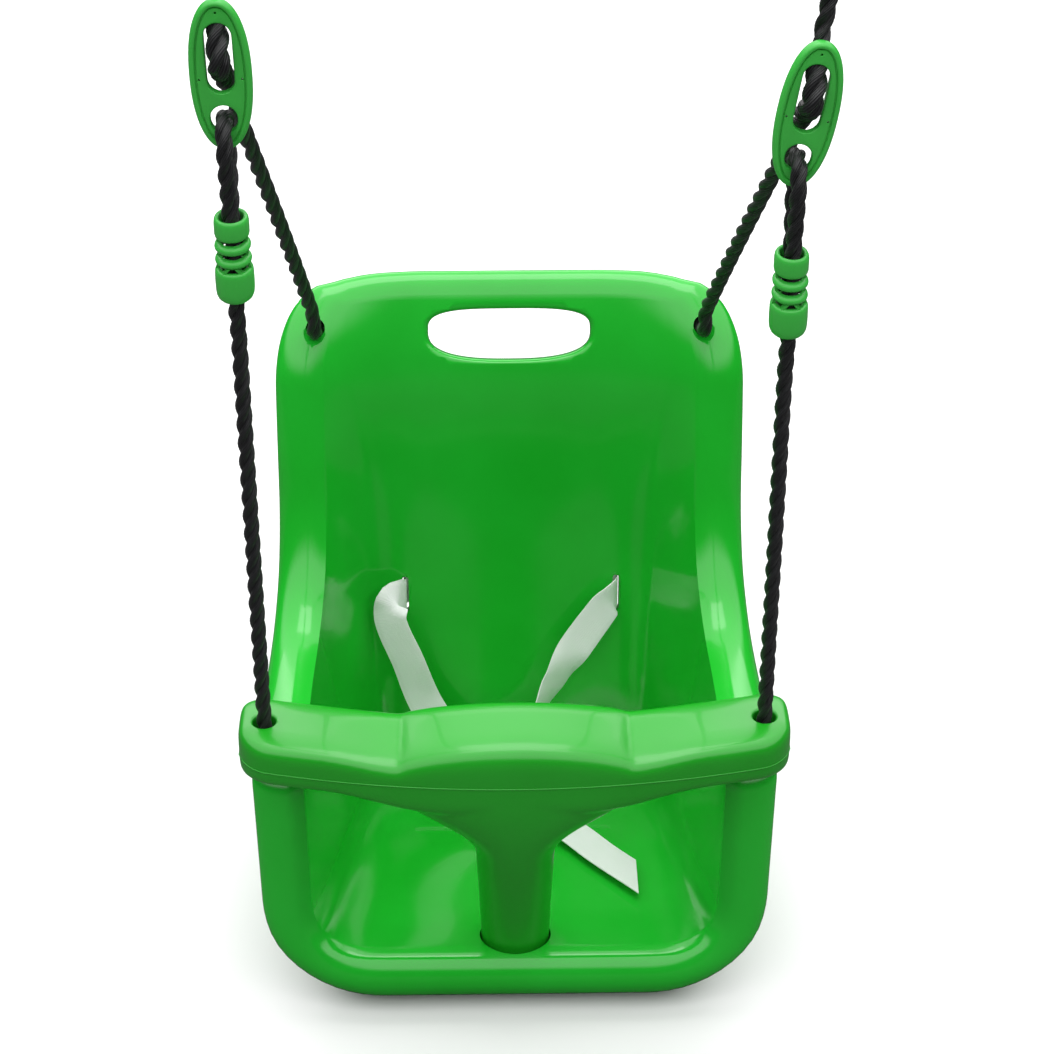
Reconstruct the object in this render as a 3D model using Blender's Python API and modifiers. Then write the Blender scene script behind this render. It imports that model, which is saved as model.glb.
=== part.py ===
"""Toddler bucket swing: a moulded bucket seat with a lift-off T-bar, hung by four rope legs from two hangers.

Metres, +Z up, the child faces -Y. The origin is on the ground, under the middle of the bucket.
"""

import math

import bmesh
import bpy
from mathutils import Matrix, Vector

# Driving dimensions.
GAP = 0.0003                      # clearance between touching pieces
WALL = 0.010                      # bucket wall, inside to outside
ARM_TOP = 0.193                   # height the T-bar rests at
RIM_WIDTH = 0.034                 # rolled rim, inner edge to outer edge
TOP_RIM_WIDTH = 0.019             # the same along the top of the back
FRONT_RIM_WIDTH = 0.031           # and under the child's legs
RIM_DEPTH = 0.026                 # rolled rim, front to back
POST_DEPTH = 0.012                # the same down the two front posts
LIP_DEPTH = 0.030                 # and under the child's legs
TOP_RIM_DEPTH = 0.018             # and round the top of the back
CORNER_THINNING = 2.2             # how much thinner the rim gets where a post turns into an arm
RIM_CREST = 0.003                 # how far the rim swells above its inner edge
FRONT_CREST = 0.007               # the same on the lip and the two front posts
RIM_STEPS = 2                     # steps round a quarter of the rim's roll
FOOT_PAD = (0.150, 0.056, 0.0165)     # the low pad under the seat that the bucket stands on
HANDLE_UP = 0.372                 # height of the hand slot's middle

ROPE_R = 0.0052
ROPE_X = 0.163                    # sideways place of the front ropes
ROPE_Y = -0.122
ROPE_HOLE_R = 0.0075
DOME_STEPS = (0.0, 0.0016, 0.0046)     # a rope's domed end: distances from its tip
DOME_SHARES = (0.50, 0.86, 1.0)        # and its thickness there
BEND_GAP = 0.0006                 # from the bend's axis to each rope's tip
REAR_HOLE_R = 0.0066
REAR_HOLE = (0.136, 0.121, 0.384)
REAR_KNOT_BEHIND = 0.046          # from the front of a rear hole back to the middle of its knot
REAR_HOLE_ALONG = 0.345           # the rear holes go square through the back as it leans at this height
KNOT_R = 0.0125
KNOT_SHIFT = (0.0075, 0.0030)     # a front knot's place, inward and back from its rope
KNOT_POCKET_R = 0.014
KNOT_POCKET_UP = (0.139, 0.171)   # a front knot's pocket, from bottom to top

BAR_END = 0.180                   # half the length of the T-bar
BAR_TOP = 0.2265
BAR_PAD_HALF = 0.074              # the raised middle pad ends in a crease here
BAR_PAD_RISE = 0.012              # the pad's rise along its back edge
BAR_CREASE_DROP = 0.006           # how far the front edge dips at the crease
BAR_HALF_DEPTH = 0.031
BAR_CORNER = 0.020                # rounding of the bar's ends, seen from above
BAR_EDGE = 0.005                  # rounding of their upper and lower edges
POST_FOOT_R = 0.0225
POST_FOOT_Y = -0.116
SOCKET_R = 0.0245
SOCKET_FLOOR = 0.012

PLATE_LENGTH = 0.089
PLATE_WIDTH = 0.0355
PLATE_THICKNESS = 0.008
PLATE_HOLE_UP = {"left": 0.648, "right": 0.622}     # height of each plate's lower hole
PLATE_LEAN = {"left": math.radians(1), "right": math.radians(9)}
PLATE_HOLE_R = 0.0078
SLOT_HALF = 0.0208                # half the plate's long slot
SLOT_R = 0.0078
SLOT_CENTRE = 0.0364              # above the lower hole
PLATE_CENTRE = 0.0261             # above the lower hole

CLAMP_HEIGHT = 0.0525
CLAMP_TOP_BELOW_HOLE = 0.0605     # from a plate's lower hole down to the clamp under it
CLAMP_DEPTH_RATIO = 1.6           # clamps are oval: two rope legs lie one behind the other
LEG_OFFSET = 0.0056               # each rope leg's distance from the clamp's middle

RING_WIRE_R = 0.004
RING_R = 0.025
HANGER_X = 0.205
HANGER_UP = 0.960                 # height of the ring wire that the rope hangs on
UPPER_CLAMP_TOP = 0.038           # below the ring wire

BELT_WIDTH = 0.025
BELT_THICKNESS = 0.0016
BELT_SLOT_HALF = 0.0148
BELT_SLOT_R = 0.0022
BELT_SLOT_X = 0.0775
BELT_SLOT_UP = 0.171

SIDES = {"left": -1, "right": 1}

GREEN = (0.03, 0.42, 0.05, 1)
BAR_GREEN = (0.04, 0.40, 0.06, 1)
CLAMP_GREEN = (0.02, 0.30, 0.05, 1)
BLACK = (0.012, 0.013, 0.015, 1)
WHITE = (0.85, 0.87, 0.86, 1)
STEEL = (0.62, 0.63, 0.65, 1)

# The bucket's side view, front to top: the middle of the seat and back, and the rim's inner edge beside it.
SEAT_LINE = [(-0.133, 0.042), (-0.075, 0.030), (-0.005, 0.021), (0.055, 0.015), (0.090, 0.038),
             (0.101, 0.100), (0.109, 0.170), (0.118, 0.245), (0.128, 0.325), (0.138, 0.3965)]
RIM_LINE = [(-0.133, 0.190), (-0.085, 0.190), (-0.030, 0.190), (0.012, 0.194), (0.040, 0.205),
            (0.062, 0.226), (0.080, 0.258), (0.095, 0.300), (0.112, 0.350), (0.131, 0.3985)]
SEAT_HALF_WIDTH = [0.137, 0.127, 0.115, 0.105, 0.098, 0.095, 0.093, 0.092, 0.091, 0.090]
RIM_HALF_WIDTH = [0.139, 0.139, 0.138, 0.136, 0.134, 0.132, 0.131, 0.131, 0.131, 0.131]

# Where along the half section the seat ends and the side wall starts; the bend is between them.
SEAT_SHARE = 0.42
WALL_SHARE = 0.64
BEND_REACH = 0.030
FRONT_BEND_REACH = 0.041
# Rounding of the rim's corners as shares of the half section and of the side view.
FRONT_CORNER = (0.052, 0.036)
TOP_CORNER = (0.50, 0.125)
ROLL_START = 0.88                 # where along the side view the top of the back starts to roll backward
TOP_ROLL = 0.012                  # and how far it has rolled at its end


def clear_scene():
    for obj in list(bpy.data.objects):
        bpy.data.objects.remove(obj)


def new_collection(name):
    collection = bpy.data.collections.new(name)
    bpy.context.scene.collection.children.link(collection)
    return collection


def material(name, colour, roughness, metallic=0.0):
    found = bpy.data.materials.get(name)
    if found:
        return found
    made = bpy.data.materials.new(name)
    made.use_nodes = True
    shader = made.node_tree.nodes["Principled BSDF"]
    shader.inputs["Base Color"].default_value = colour
    shader.inputs["Roughness"].default_value = roughness
    shader.inputs["Metallic"].default_value = metallic
    return made


def mesh_object(name, bm, collection, mat=None):
    """Makes an object of a bmesh, smooth except at its sharp edges."""
    mesh = bpy.data.meshes.new(name)
    bm.to_mesh(mesh)
    bm.free()
    mesh.shade_smooth()
    mesh.set_sharp_from_angle(angle=math.radians(35))
    obj = bpy.data.objects.new(name, mesh)
    collection.objects.link(obj)
    if mat:
        mesh.materials.append(mat)
    return obj


def hide_cutter(obj):
    obj.hide_render = True
    obj.display_type = "WIRE"
    return obj


def boolean(obj, other, operation):
    modifier = obj.modifiers.new(f"{operation.lower()} {other.name}", "BOOLEAN")
    modifier.object = other
    modifier.operation = operation
    modifier.solver = "EXACT"


def evenly(start, end, count):
    return [start + (end - start) * k / count for k in range(count + 1)]


def blend_through(values, share):
    """A smooth curve through evenly spaced values, at share 0 to 1 of its length."""
    last = len(values) - 1
    place = min(max(share, 0.0), 1.0) * last
    i = min(int(place), last - 1)
    t = place - i
    before = values[i - 1] if i > 0 else 2 * values[0] - values[1]
    after = values[i + 2] if i + 2 <= last else 2 * values[last] - values[last - 1]
    a, b = values[i], values[i + 1]
    return 0.5 * (2 * a + (b - before) * t + (2 * before - 5 * a + 4 * b - after) * t * t
                  + (3 * a - before - 3 * b + after) * t ** 3)


def through_points(points, share):
    return Vector([blend_through([p[k] for p in points], share) for k in range(len(points[0]))])


def smooth_step(low, high, value):
    t = min(max((value - low) / (high - low), 0.0), 1.0)
    return t * t * (3 - 2 * t)


# --- bucket ---------------------------------------------------------------------------------------

def side_view(line, along):
    """A point on one of the side view's lines, with the top of the back rolled backward."""
    past = max(along - ROLL_START, 0) / (1 - ROLL_START)
    return through_points(line, along) + Vector((TOP_ROLL * past * past, 0))


def round_corner(across, along):
    """Pulls the corners of the section-by-length grid in, so that the rim turns its corners on arcs."""
    width, length = TOP_CORNER if along > 0.5 else FRONT_CORNER
    edge = 1.0 if along > 0.5 else 0.0
    p = (across - (1 - width)) / width
    q = 1 - abs(edge - along) / length
    if p <= 0 or q <= 0:
        return across, along
    new_p = p * math.sqrt(1 - q * q / 2)
    new_q = q * math.sqrt(1 - p * p / 2)
    return 1 - width + new_p * width, edge + (1 - new_q) * length * (-1 if edge else 1)


def inner_surface(across, along):
    """The bucket's inside. Across runs from the middle to the rim's inner edge, along from front to top."""
    across, along = round_corner(across, along)
    seat = side_view(SEAT_LINE, along)
    rim = side_view(RIM_LINE, along)
    seat_x = blend_through(SEAT_HALF_WIDTH, along)
    rim_x = blend_through(RIM_HALF_WIDTH, along)
    wall = Vector((rim_x - seat_x, rim.x - seat.x, rim.y - seat.y))
    corner = Vector((seat_x, seat.x, seat.y))
    reach = FRONT_BEND_REACH + (BEND_REACH - FRONT_BEND_REACH) * smooth_step(0, 0.25, along)
    reach = min(reach, wall.length * 0.6)
    bend_start = corner - Vector((reach, 0, 0))
    bend_end = corner + wall.normalized() * reach
    if across <= SEAT_SHARE:
        return Vector((bend_start.x * across / SEAT_SHARE, seat.x, seat.y))
    if across <= WALL_SHARE:
        t = (across - SEAT_SHARE) / (WALL_SHARE - SEAT_SHARE)
        return bend_start * (1 - t) ** 2 + corner * 2 * t * (1 - t) + bend_end * t * t
    t = (across - WALL_SHARE) / (1 - WALL_SHARE)
    return bend_end.lerp(corner + wall, t)


def outer_surface(across, along):
    """The bucket's outside, one wall behind the inside. It stops short of the rim, which closes it."""
    across *= 1 - 0.095 - 0.05 * smooth_step(0.45, 0.7, along)
    along = 0.052 + along * (1 - 0.052 - 0.050)
    step = 0.002
    here = inner_surface(across, along)
    sideways = inner_surface(across + step, along) - inner_surface(max(across - step, 0), along)
    lengthways = inner_surface(across, along + step) - inner_surface(across, along - step)
    return here - sideways.cross(lengthways).normalized() * WALL


def rim_frame(before, after, along):
    """The rim's outward and facing directions where it runs from one point to the next."""
    run = (after - before).normalized()
    flat = Vector((0, -0.64, 0.77)) if along < 0.5 else Vector((0, -0.80, 0.60))
    facing = Vector((0, -run.z, run.y)) + abs(run.x) * flat
    facing.normalize()
    outward = run.cross(facing).normalized()
    return outward, outward.cross(run).normalized(), abs(run.x)


def rim_profile(width, depth, crest):
    """The rolled rim's section as (outward, facing) steps: inner edge, over the crest, to the back."""
    top = 0.36 * width
    low = 0.60 * width
    drop = crest + 0.42 * depth
    steps = []
    for k in range(1, RIM_STEPS):
        share = k / RIM_STEPS
        steps.append((top * share, crest * math.sin(math.pi / 2 * share)))
    for k in range(2 * RIM_STEPS + 1):
        angle = math.pi / 4 * k / RIM_STEPS
        steps.append((top + (width - top) * math.sin(angle), crest - drop * (1 - math.cos(angle))))
    for k in range(1, RIM_STEPS + 1):
        angle = math.pi / 2 * k / RIM_STEPS
        steps.append((width - (width - low) * (1 - math.cos(angle)),
                      crest - drop - (depth + crest - drop) * math.sin(angle)))
    steps.append((top, -depth))
    return steps


def edge_loop(columns, rows):
    """The grid's free edge from the middle of the front, round one side, to the middle of the top."""
    loop = [(i, 0) for i in range(len(columns))]
    loop += [(len(columns) - 1, j) for j in range(1, len(rows))]
    loop += [(i, len(rows) - 1) for i in range(len(columns) - 2, -1, -1)]
    return loop


def bucket_half(columns, rows):
    """Half of the bucket, open at the middle plane: inside, rolled rim and outside."""
    bm = bmesh.new()
    inner = [[bm.verts.new(inner_surface(a, b)) for b in rows] for a in columns]
    outer = [[bm.verts.new(outer_surface(a, b)) for b in rows] for a in columns]
    for i in range(len(columns) - 1):
        for j in range(len(rows) - 1):
            bm.faces.new((inner[i][j], inner[i + 1][j], inner[i + 1][j + 1], inner[i][j + 1]))
            bm.faces.new((outer[i][j], outer[i][j + 1], outer[i + 1][j + 1], outer[i + 1][j]))
    loop = edge_loop(columns, rows)
    edge = [inner[i][j] for i, j in loop]
    rings = [edge]
    sections = []
    for k, (i, j) in enumerate(loop):
        before = edge[k - 1].co if k else Vector((-edge[1].co.x, edge[1].co.y, edge[1].co.z))
        after = edge[k + 1].co if k + 1 < len(edge) else Vector((-edge[k - 1].co.x, *edge[k - 1].co[1:]))
        outward, facing, level = rim_frame(before, after, rows[j])
        front = 1 - smooth_step(0.02, 0.22, rows[j])
        top = smooth_step(0.75, 1.0, rows[j]) * smooth_step(0.15, 0.95, level)
        width = RIM_WIDTH + (TOP_RIM_WIDTH - RIM_WIDTH) * top
        width += (FRONT_RIM_WIDTH - RIM_WIDTH) * front * smooth_step(0.3, 1.0, level)
        across_run = 1 - ((after - before).normalized().y) ** 2
        depth = RIM_DEPTH + (POST_DEPTH - RIM_DEPTH) * front
        depth += (LIP_DEPTH - POST_DEPTH) * front * level ** 2
        depth += (TOP_RIM_DEPTH - RIM_DEPTH) * smooth_step(0.68, 0.86, rows[j])
        depth *= 1 - CORNER_THINNING * front * (1 - level) * across_run * (1 - across_run)
        crest = RIM_CREST + (FRONT_CREST - RIM_CREST) * front * across_run
        profile = rim_profile(width, depth, crest * (1 - 0.85 * top))
        sections.append([edge[k].co + outward * o + facing * f for o, f in profile])
    for step in range(len(sections[0])):
        rings.append([bm.verts.new(section[step]) for section in sections])
    rings.append([outer[i][j] for i, j in loop])
    for near, far in zip(rings, rings[1:]):
        for k in range(len(loop) - 1):
            bm.faces.new((near[k], far[k], far[k + 1], near[k + 1]))
    for vert in bm.verts:
        if abs(vert.co.x) < 1e-6:
            vert.co.x = 0
    return bm


def build_bucket(collection, cutters, columns, rows):
    half = bucket_half(columns, rows)
    bucket = mesh_object("bucket", half, collection, material("bucket plastic", GREEN, 0.18))
    mirror = bucket.modifiers.new("other half", "MIRROR")
    mirror.use_clip = True
    mirror.merge_threshold = 0.0001
    boolean(bucket, socket_boss(cutters), "UNION")
    boolean(bucket, foot_pad(cutters), "UNION")
    boolean(bucket, handle_cutter(cutters), "DIFFERENCE")
    boolean(bucket, cylinder_cutter("socket cutter", SOCKET_R, (0, POST_FOOT_Y, SOCKET_FLOOR), 0.06, cutters),
            "DIFFERENCE")
    for side, sign in SIDES.items():
        hole_foot = (sign * ROPE_X, ROPE_Y, KNOT_POCKET_UP[1] - 0.004)
        hole = cylinder_cutter(f"front rope hole cutter {side}", ROPE_HOLE_R, hole_foot, 0.05, cutters)
        boolean(bucket, hole, "DIFFERENCE")
        low, high = KNOT_POCKET_UP
        pocket = cylinder_cutter(f"knot pocket cutter {side}", KNOT_POCKET_R, (*knot_place(sign), low),
                                 high - low, cutters)
        boolean(bucket, pocket, "DIFFERENCE")
        boolean(bucket, rear_hole_cutter(side, sign, cutters), "DIFFERENCE")
        clearance = path_cutter(f"rear rope clearance {side}", rear_rope_path(side, sign), cutters)
        boolean(bucket, clearance, "DIFFERENCE")
        boolean(bucket, belt_slot_cutter(side, sign, cutters), "DIFFERENCE")
    return bucket


def cylinder_cutter(name, radius, foot, height, cutters, sides=32):
    bm = bmesh.new()
    bmesh.ops.create_cone(bm, cap_ends=True, segments=sides, radius1=radius, radius2=radius, depth=height)
    obj = mesh_object(name, bm, cutters)
    obj.location = Vector(foot) + Vector((0, 0, height / 2))
    return hide_cutter(obj)


def box(name, size, centre, collection, bevel=0.0):
    bm = bmesh.new()
    bmesh.ops.create_cube(bm, size=1)
    bmesh.ops.scale(bm, vec=size, verts=bm.verts)
    if bevel:
        bmesh.ops.bevel(bm, geom=bm.edges[:], offset=bevel, segments=3, affect="EDGES", profile=0.5)
    obj = mesh_object(name, bm, collection)
    obj.location = centre
    return obj


def knot_place(sign):
    """Where a front knot sits, seen from above."""
    return sign * (ROPE_X - KNOT_SHIFT[0]), ROPE_Y + KNOT_SHIFT[1]


def socket_boss(cutters):
    """Thickens the floor round the T-bar's foot."""
    foot = (0, POST_FOOT_Y + 0.003, 0.008)
    return cylinder_cutter("socket boss", SOCKET_R + 0.0025, foot, 0.024, cutters, 48)


def foot_pad(cutters):
    """A low pad under the seat that the bucket stands on."""
    return hide_cutter(box("foot pad", FOOT_PAD, (0, 0, FOOT_PAD[2] / 2), cutters, 0.003))


def back_direction(up):
    """How the back leans at a height: the direction along it, and the way it faces."""
    share = share_at_height(up)
    run = side_view(SEAT_LINE, share + 0.01) - side_view(SEAT_LINE, share - 0.01)
    run = Vector((0, run.x, run.y)).normalized()
    return run, Vector((0, -run.z, run.y))


def share_at_height(up):
    """How far along the side view the middle of the back reaches a height, found by halving."""
    low, high = 0.4, 1.0
    for _ in range(30):
        middle = (low + high) / 2
        if side_view(SEAT_LINE, middle).y < up:
            low = middle
        else:
            high = middle
    return low


def oriented_cutter(name, bm, centre, up, cutters):
    """A cutter whose own Z points out of the back at a height."""
    run, facing = back_direction(up)
    obj = mesh_object(name, bm, cutters)
    turn = Matrix((Vector((1, 0, 0)), run, facing)).transposed()
    obj.matrix_world = Matrix.Translation(centre) @ turn.to_4x4()
    return hide_cutter(obj)


def extruded_outline(outline, depth):
    """A bmesh prism of a flat outline, centred on its own plane."""
    bm = bmesh.new()
    low = [bm.verts.new((x, y, -depth / 2)) for x, y in outline]
    high = [bm.verts.new((x, y, depth / 2)) for x, y in outline]
    count = len(outline)
    bm.faces.new(reversed(low))
    bm.faces.new(high)
    for k in range(count):
        bm.faces.new((low[k], low[(k + 1) % count], high[(k + 1) % count], high[k]))
    return bm


def handle_outline(points):
    """The hand slot: nearly straight above, bowed like a smile below, round at both ends."""
    half_width, above, below = 0.0575, 0.0165, 0.0200
    outline = []
    for k in range(points):
        angle = 2 * math.pi * k / points
        c, s = math.cos(angle), math.sin(angle)
        power = 3.4 if s > 0 else 2.6
        height = above if s > 0 else below
        outline.append((half_width * math.copysign(abs(c) ** (2 / power), c),
                        height * math.copysign(abs(s) ** (2 / power), s)))
    return outline


def circle(radius, sides):
    angles = [2 * math.pi * k / sides for k in range(sides)]
    return [(radius * math.cos(a), radius * math.sin(a)) for a in angles]


def handle_cutter(cutters):
    centre = side_view(SEAT_LINE, share_at_height(HANDLE_UP))
    bm = extruded_outline(handle_outline(40), 0.09)
    return oriented_cutter("handle cutter", bm, Vector((0, centre.x, centre.y)), HANDLE_UP, cutters)


def rear_hole(sign):
    """Where a rear rope goes through the rim of the back."""
    return Vector((sign * REAR_HOLE[0], *REAR_HOLE[1:]))


def rear_hole_cutter(side, sign, cutters):
    bm = extruded_outline(circle(REAR_HOLE_R, 28), 0.09)
    return oriented_cutter(f"rear rope hole cutter {side}", bm, rear_hole(sign), REAR_HOLE_ALONG, cutters)


def belt_slot(sign):
    """The middle of a belt slot, on the inside of the back."""
    centre = side_view(SEAT_LINE, share_at_height(BELT_SLOT_UP))
    return Vector((sign * BELT_SLOT_X, centre.x, centre.y))


def belt_slot_cutter(side, sign, cutters):
    bm = extruded_outline(stadium_outline(BELT_SLOT_HALF, BELT_SLOT_R), 0.05)
    return oriented_cutter(f"belt slot cutter {side}", bm, belt_slot(sign), BELT_SLOT_UP, cutters)


# --- T-bar ----------------------------------------------------------------------------------------

def bar_levels(x):
    """The crossbar's front top edge, back top edge and underside at a distance from the middle."""
    out = abs(x)
    if out < BAR_PAD_HALF:
        swell = (1 - (out / BAR_PAD_HALF) ** 2) ** 0.75
        front = BAR_TOP - BAR_CREASE_DROP + 0.015 * swell
        back = BAR_TOP + BAR_PAD_RISE * swell
    else:
        front = BAR_TOP - BAR_CREASE_DROP * (1 - smooth_step(BAR_PAD_HALF, 0.125, out))
        back = BAR_TOP
    under = ARM_TOP + GAP - 0.014 * (1 - smooth_step(0.040, 0.128, out))
    past = max(out - (BAR_END - BAR_EDGE), 0)
    rounding = BAR_EDGE - math.sqrt(max(BAR_EDGE ** 2 - past ** 2, 0))
    return front - rounding, back - rounding, under + 0.8 * rounding


def bar_plan(x):
    """The crossbar's middle and half depth, seen from above."""
    middle = -0.1165 - 0.025 * (1 - (x / BAR_END) ** 2)
    past = max(abs(x) - (BAR_END - BAR_CORNER), 0)
    return middle, BAR_HALF_DEPTH - BAR_CORNER + math.sqrt(max(BAR_CORNER ** 2 - past ** 2, 0))


def bar_section(x, points):
    """The crossbar's rounded section at a distance from the middle."""
    front, back, under = bar_levels(x)
    middle, half_y = bar_plan(x)
    top = (front + back) / 2
    centre_z = (top + under) / 2
    section = []
    for k in range(points):
        angle = 2 * math.pi * (k + 0.5) / points
        c, s = math.cos(angle), math.sin(angle)
        power = 4.6 if s > 0 else 5.0
        across = math.copysign(abs(c) ** (2 / power), c)
        rise = math.copysign(abs(s) ** (2 / power), s)
        tilt = (back - front) / 2 * across * max(rise, 0)
        section.append(Vector((x, middle + half_y * across, centre_z + (top - under) / 2 * rise + tilt)))
    return section


def loft(bm, sections, close_start=False, close_end=False):
    rings = [[bm.verts.new(p) for p in section] for section in sections]
    count = len(rings[0])
    for near, far in zip(rings, rings[1:]):
        for k in range(count):
            bm.faces.new((near[k], near[(k + 1) % count], far[(k + 1) % count], far[k]))
    if close_start:
        bm.faces.new(list(reversed(rings[0])))
    if close_end:
        bm.faces.new(rings[-1])
    return rings


def post_section(z, points):
    """The T-bar's post at a height: round at the foot, flaring like a trumpet into the crossbar."""
    rise = (z - SOCKET_FLOOR) / (ARM_TOP - SOCKET_FLOOR)
    flare = smooth_step(0.60, 1.0, rise) ** 1.8
    half_x = POST_FOOT_R + 0.0060 * rise + 0.055 * flare
    lean = smooth_step(0.12, 1.0, rise)
    centre_y = POST_FOOT_Y - 0.028 * lean
    half_y = POST_FOOT_R - 0.001 + 0.0068 * lean
    section = []
    for k in range(points):
        angle = 2 * math.pi * k / points
        section.append(Vector((half_x * math.cos(angle), centre_y + half_y * math.sin(angle), z)))
    return section


def build_t_bar(collection, cutters):
    stations = [0, 0.018, 0.036, 0.054, 0.067, BAR_PAD_HALF, 0.088, 0.105, 0.130, 0.150]
    stations += [BAR_END - BAR_CORNER * (1 - math.sin(math.radians(angle))) for angle in (0, 25, 48, 68, 90)]
    bm = bmesh.new()
    loft(bm, [bar_section(x, 26) for x in stations], close_end=True)
    bmesh.ops.recalc_face_normals(bm, faces=bm.faces)
    bar = mesh_object("t_bar", bm, collection, material("t-bar plastic", BAR_GREEN, 0.32))
    mirror = bar.modifiers.new("other half", "MIRROR")
    mirror.use_clip = True
    mirror.merge_threshold = 0.0001
    post = bmesh.new()
    heights = evenly(SOCKET_FLOOR + 0.001, 0.196, 12)
    loft(post, [post_section(z, 24) for z in heights], close_start=True, close_end=True)
    boolean(bar, hide_cutter(mesh_object("post", post, cutters)), "UNION")
    for side, sign in SIDES.items():
        hole = cylinder_cutter(f"bar hole cutter {side}", ROPE_HOLE_R,
                               (sign * ROPE_X, ROPE_Y, ARM_TOP - 0.02), 0.08, cutters)
        boolean(bar, hole, "DIFFERENCE")
    return bar


# --- ropes ----------------------------------------------------------------------------------------

def tube(name, points, radius, collection, mat=None, domed=None):
    """A closed tube along points, as a mesh object."""
    curve = bpy.data.curves.new(name, "CURVE")
    curve.dimensions = "3D"
    curve.bevel_depth = radius
    curve.bevel_resolution = 1
    curve.use_fill_caps = True
    line = curve.splines.new("POLY")
    line.points.add(len(points) - 1)
    for spot, point in zip(line.points, points):
        spot.co = (*point, 1)
    if domed:
        round_end(line, domed)
    holder = bpy.data.objects.new(name + " curve", curve)
    collection.objects.link(holder)
    bpy.context.view_layer.update()
    graph = bpy.context.evaluated_depsgraph_get()
    mesh = bpy.data.meshes.new_from_object(holder.evaluated_get(graph))
    bm = bmesh.new()
    bm.from_mesh(mesh)
    bmesh.ops.remove_doubles(bm, verts=bm.verts, dist=0.00005)
    bpy.data.meshes.remove(mesh)
    bpy.data.objects.remove(holder)
    return mesh_object(name, bm, collection, mat)


def round_end(line, end):
    """Domes a rope at its bend: the last points of the path step in to the tip."""
    spots = list(line.points) if end == "first" else list(reversed(line.points))
    for spot, share in zip(spots, DOME_SHARES):
        spot.radius = share


def domed_tip(tip, inward):
    """Path points that lead from a dome's tip to a rope's full thickness."""
    return [tip + inward * step for step in DOME_STEPS]


def smooth_path(corners, spacing=0.008):
    """Evenly placed points on a smooth curve through corner points."""
    total = sum((b - a).length for a, b in zip(corners, corners[1:]))
    fine = [through_chords(corners, k / 400) for k in range(401)]
    count = max(int(total / spacing), 4)
    points = [fine[0]]
    run = 0.0
    length = sum((b - a).length for a, b in zip(fine, fine[1:]))
    target = length / count
    for a, b in zip(fine, fine[1:]):
        step = (b - a).length
        while run + step >= target and len(points) < count:
            points.append(a.lerp(b, (target - run) / step))
            target += length / count
        run += step
    points.append(fine[-1])
    return points


def through_chords(corners, share):
    """A point on the curve through corners, spaced by the distances between them."""
    distances = [0.0]
    for a, b in zip(corners, corners[1:]):
        distances.append(distances[-1] + (b - a).length)
    place = share * distances[-1]
    i = 0
    while i < len(corners) - 2 and place > distances[i + 1]:
        i += 1
    t = (place - distances[i]) / (distances[i + 1] - distances[i])
    start = corners[i]
    end = corners[i + 1]
    chord = distances[i + 1] - distances[i]
    leave = slope(corners, distances, i) * chord
    arrive = slope(corners, distances, i + 1) * chord
    return (start * (2 * t ** 3 - 3 * t * t + 1) + leave * (t ** 3 - 2 * t * t + t)
            + end * (3 * t * t - 2 * t ** 3) + arrive * (t ** 3 - t * t))


def slope(corners, distances, i):
    low = max(i - 1, 0)
    high = min(i + 1, len(corners) - 1)
    return (corners[high] - corners[low]) / (distances[high] - distances[low])


def front_rope_path(side, sign):
    """Knot under the arm, up through arm and T-bar, through the clamp, over the plate's web and back."""
    hole_up = PLATE_HOLE_UP[side]
    top = hole_up - CLAMP_TOP_BELOW_HOLE
    x = sign * ROPE_X
    turn = PLATE_THICKNESS / 2 + ROPE_R + 0.0012
    web_top = hole_up - PLATE_HOLE_R
    corners = [(x, ROPE_Y, ARM_TOP - 0.040), (x, ROPE_Y, ARM_TOP), (x, ROPE_Y, BAR_TOP + 0.06),
               (x, ROPE_Y, top - CLAMP_HEIGHT - 0.100), (x, ROPE_Y, top - CLAMP_HEIGHT - 0.030),
               (x, ROPE_Y - LEG_OFFSET, top - CLAMP_HEIGHT + 0.006),
               (x, ROPE_Y - LEG_OFFSET, top), (x, ROPE_Y - turn - 0.0012, web_top - 0.010)]
    for k in range(1, 6):
        angle = math.pi * (1 - k / 6)
        corners.append((x, ROPE_Y + turn * math.cos(angle), web_top - 0.003 + turn * math.sin(angle)))
    corners += [(x, ROPE_Y + turn + 0.0012, web_top - 0.010), (x, ROPE_Y + LEG_OFFSET, top),
                (x, ROPE_Y + LEG_OFFSET, top - CLAMP_HEIGHT + 0.022)]
    return smooth_path([Vector(c) for c in corners], 0.009)


def plate_place(side, sign):
    """The plate's own frame: its origin is the lower hole, its Z runs up the plate."""
    hole = Vector((sign * ROPE_X, ROPE_Y, PLATE_HOLE_UP[side]))
    return Matrix.Translation(hole) @ Matrix.Rotation(sign * PLATE_LEAN[side], 4, "Y")


def rock_point(side, sign):
    """Where a hanging rope bends above its plate."""
    return plate_place(side, sign) @ Vector((0, 0.0115, 0.092))


def rear_rope_path(side, sign):
    """From the bend above the plate, through its slot and out again, to the knot behind the back."""
    place = plate_place(side, sign)
    behind = PLATE_THICKNESS / 2 + ROPE_R + 0.0022
    local = [(0, 0.0115, 0.0830), (0, behind, 0.072), (0, -0.0055, SLOT_CENTRE + 0.0045),
             (0, -0.0050, SLOT_CENTRE - 0.0040), (0, 0.0085, SLOT_CENTRE - SLOT_HALF + 0.0080)]
    corners = [place @ Vector(p) for p in local]
    hole = rear_hole(sign)
    run, facing = back_direction(REAR_HOLE_ALONG)
    corners += [hole + facing * 0.020 + run * 0.019, hole + facing * 0.004, hole - facing * REAR_KNOT_BEHIND]
    bend = rock_point(side, sign)
    down = (corners[0] - bend).normalized()
    return domed_tip(bend + down * BEND_GAP, down)[:-1] + smooth_path(corners, 0.009)


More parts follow.
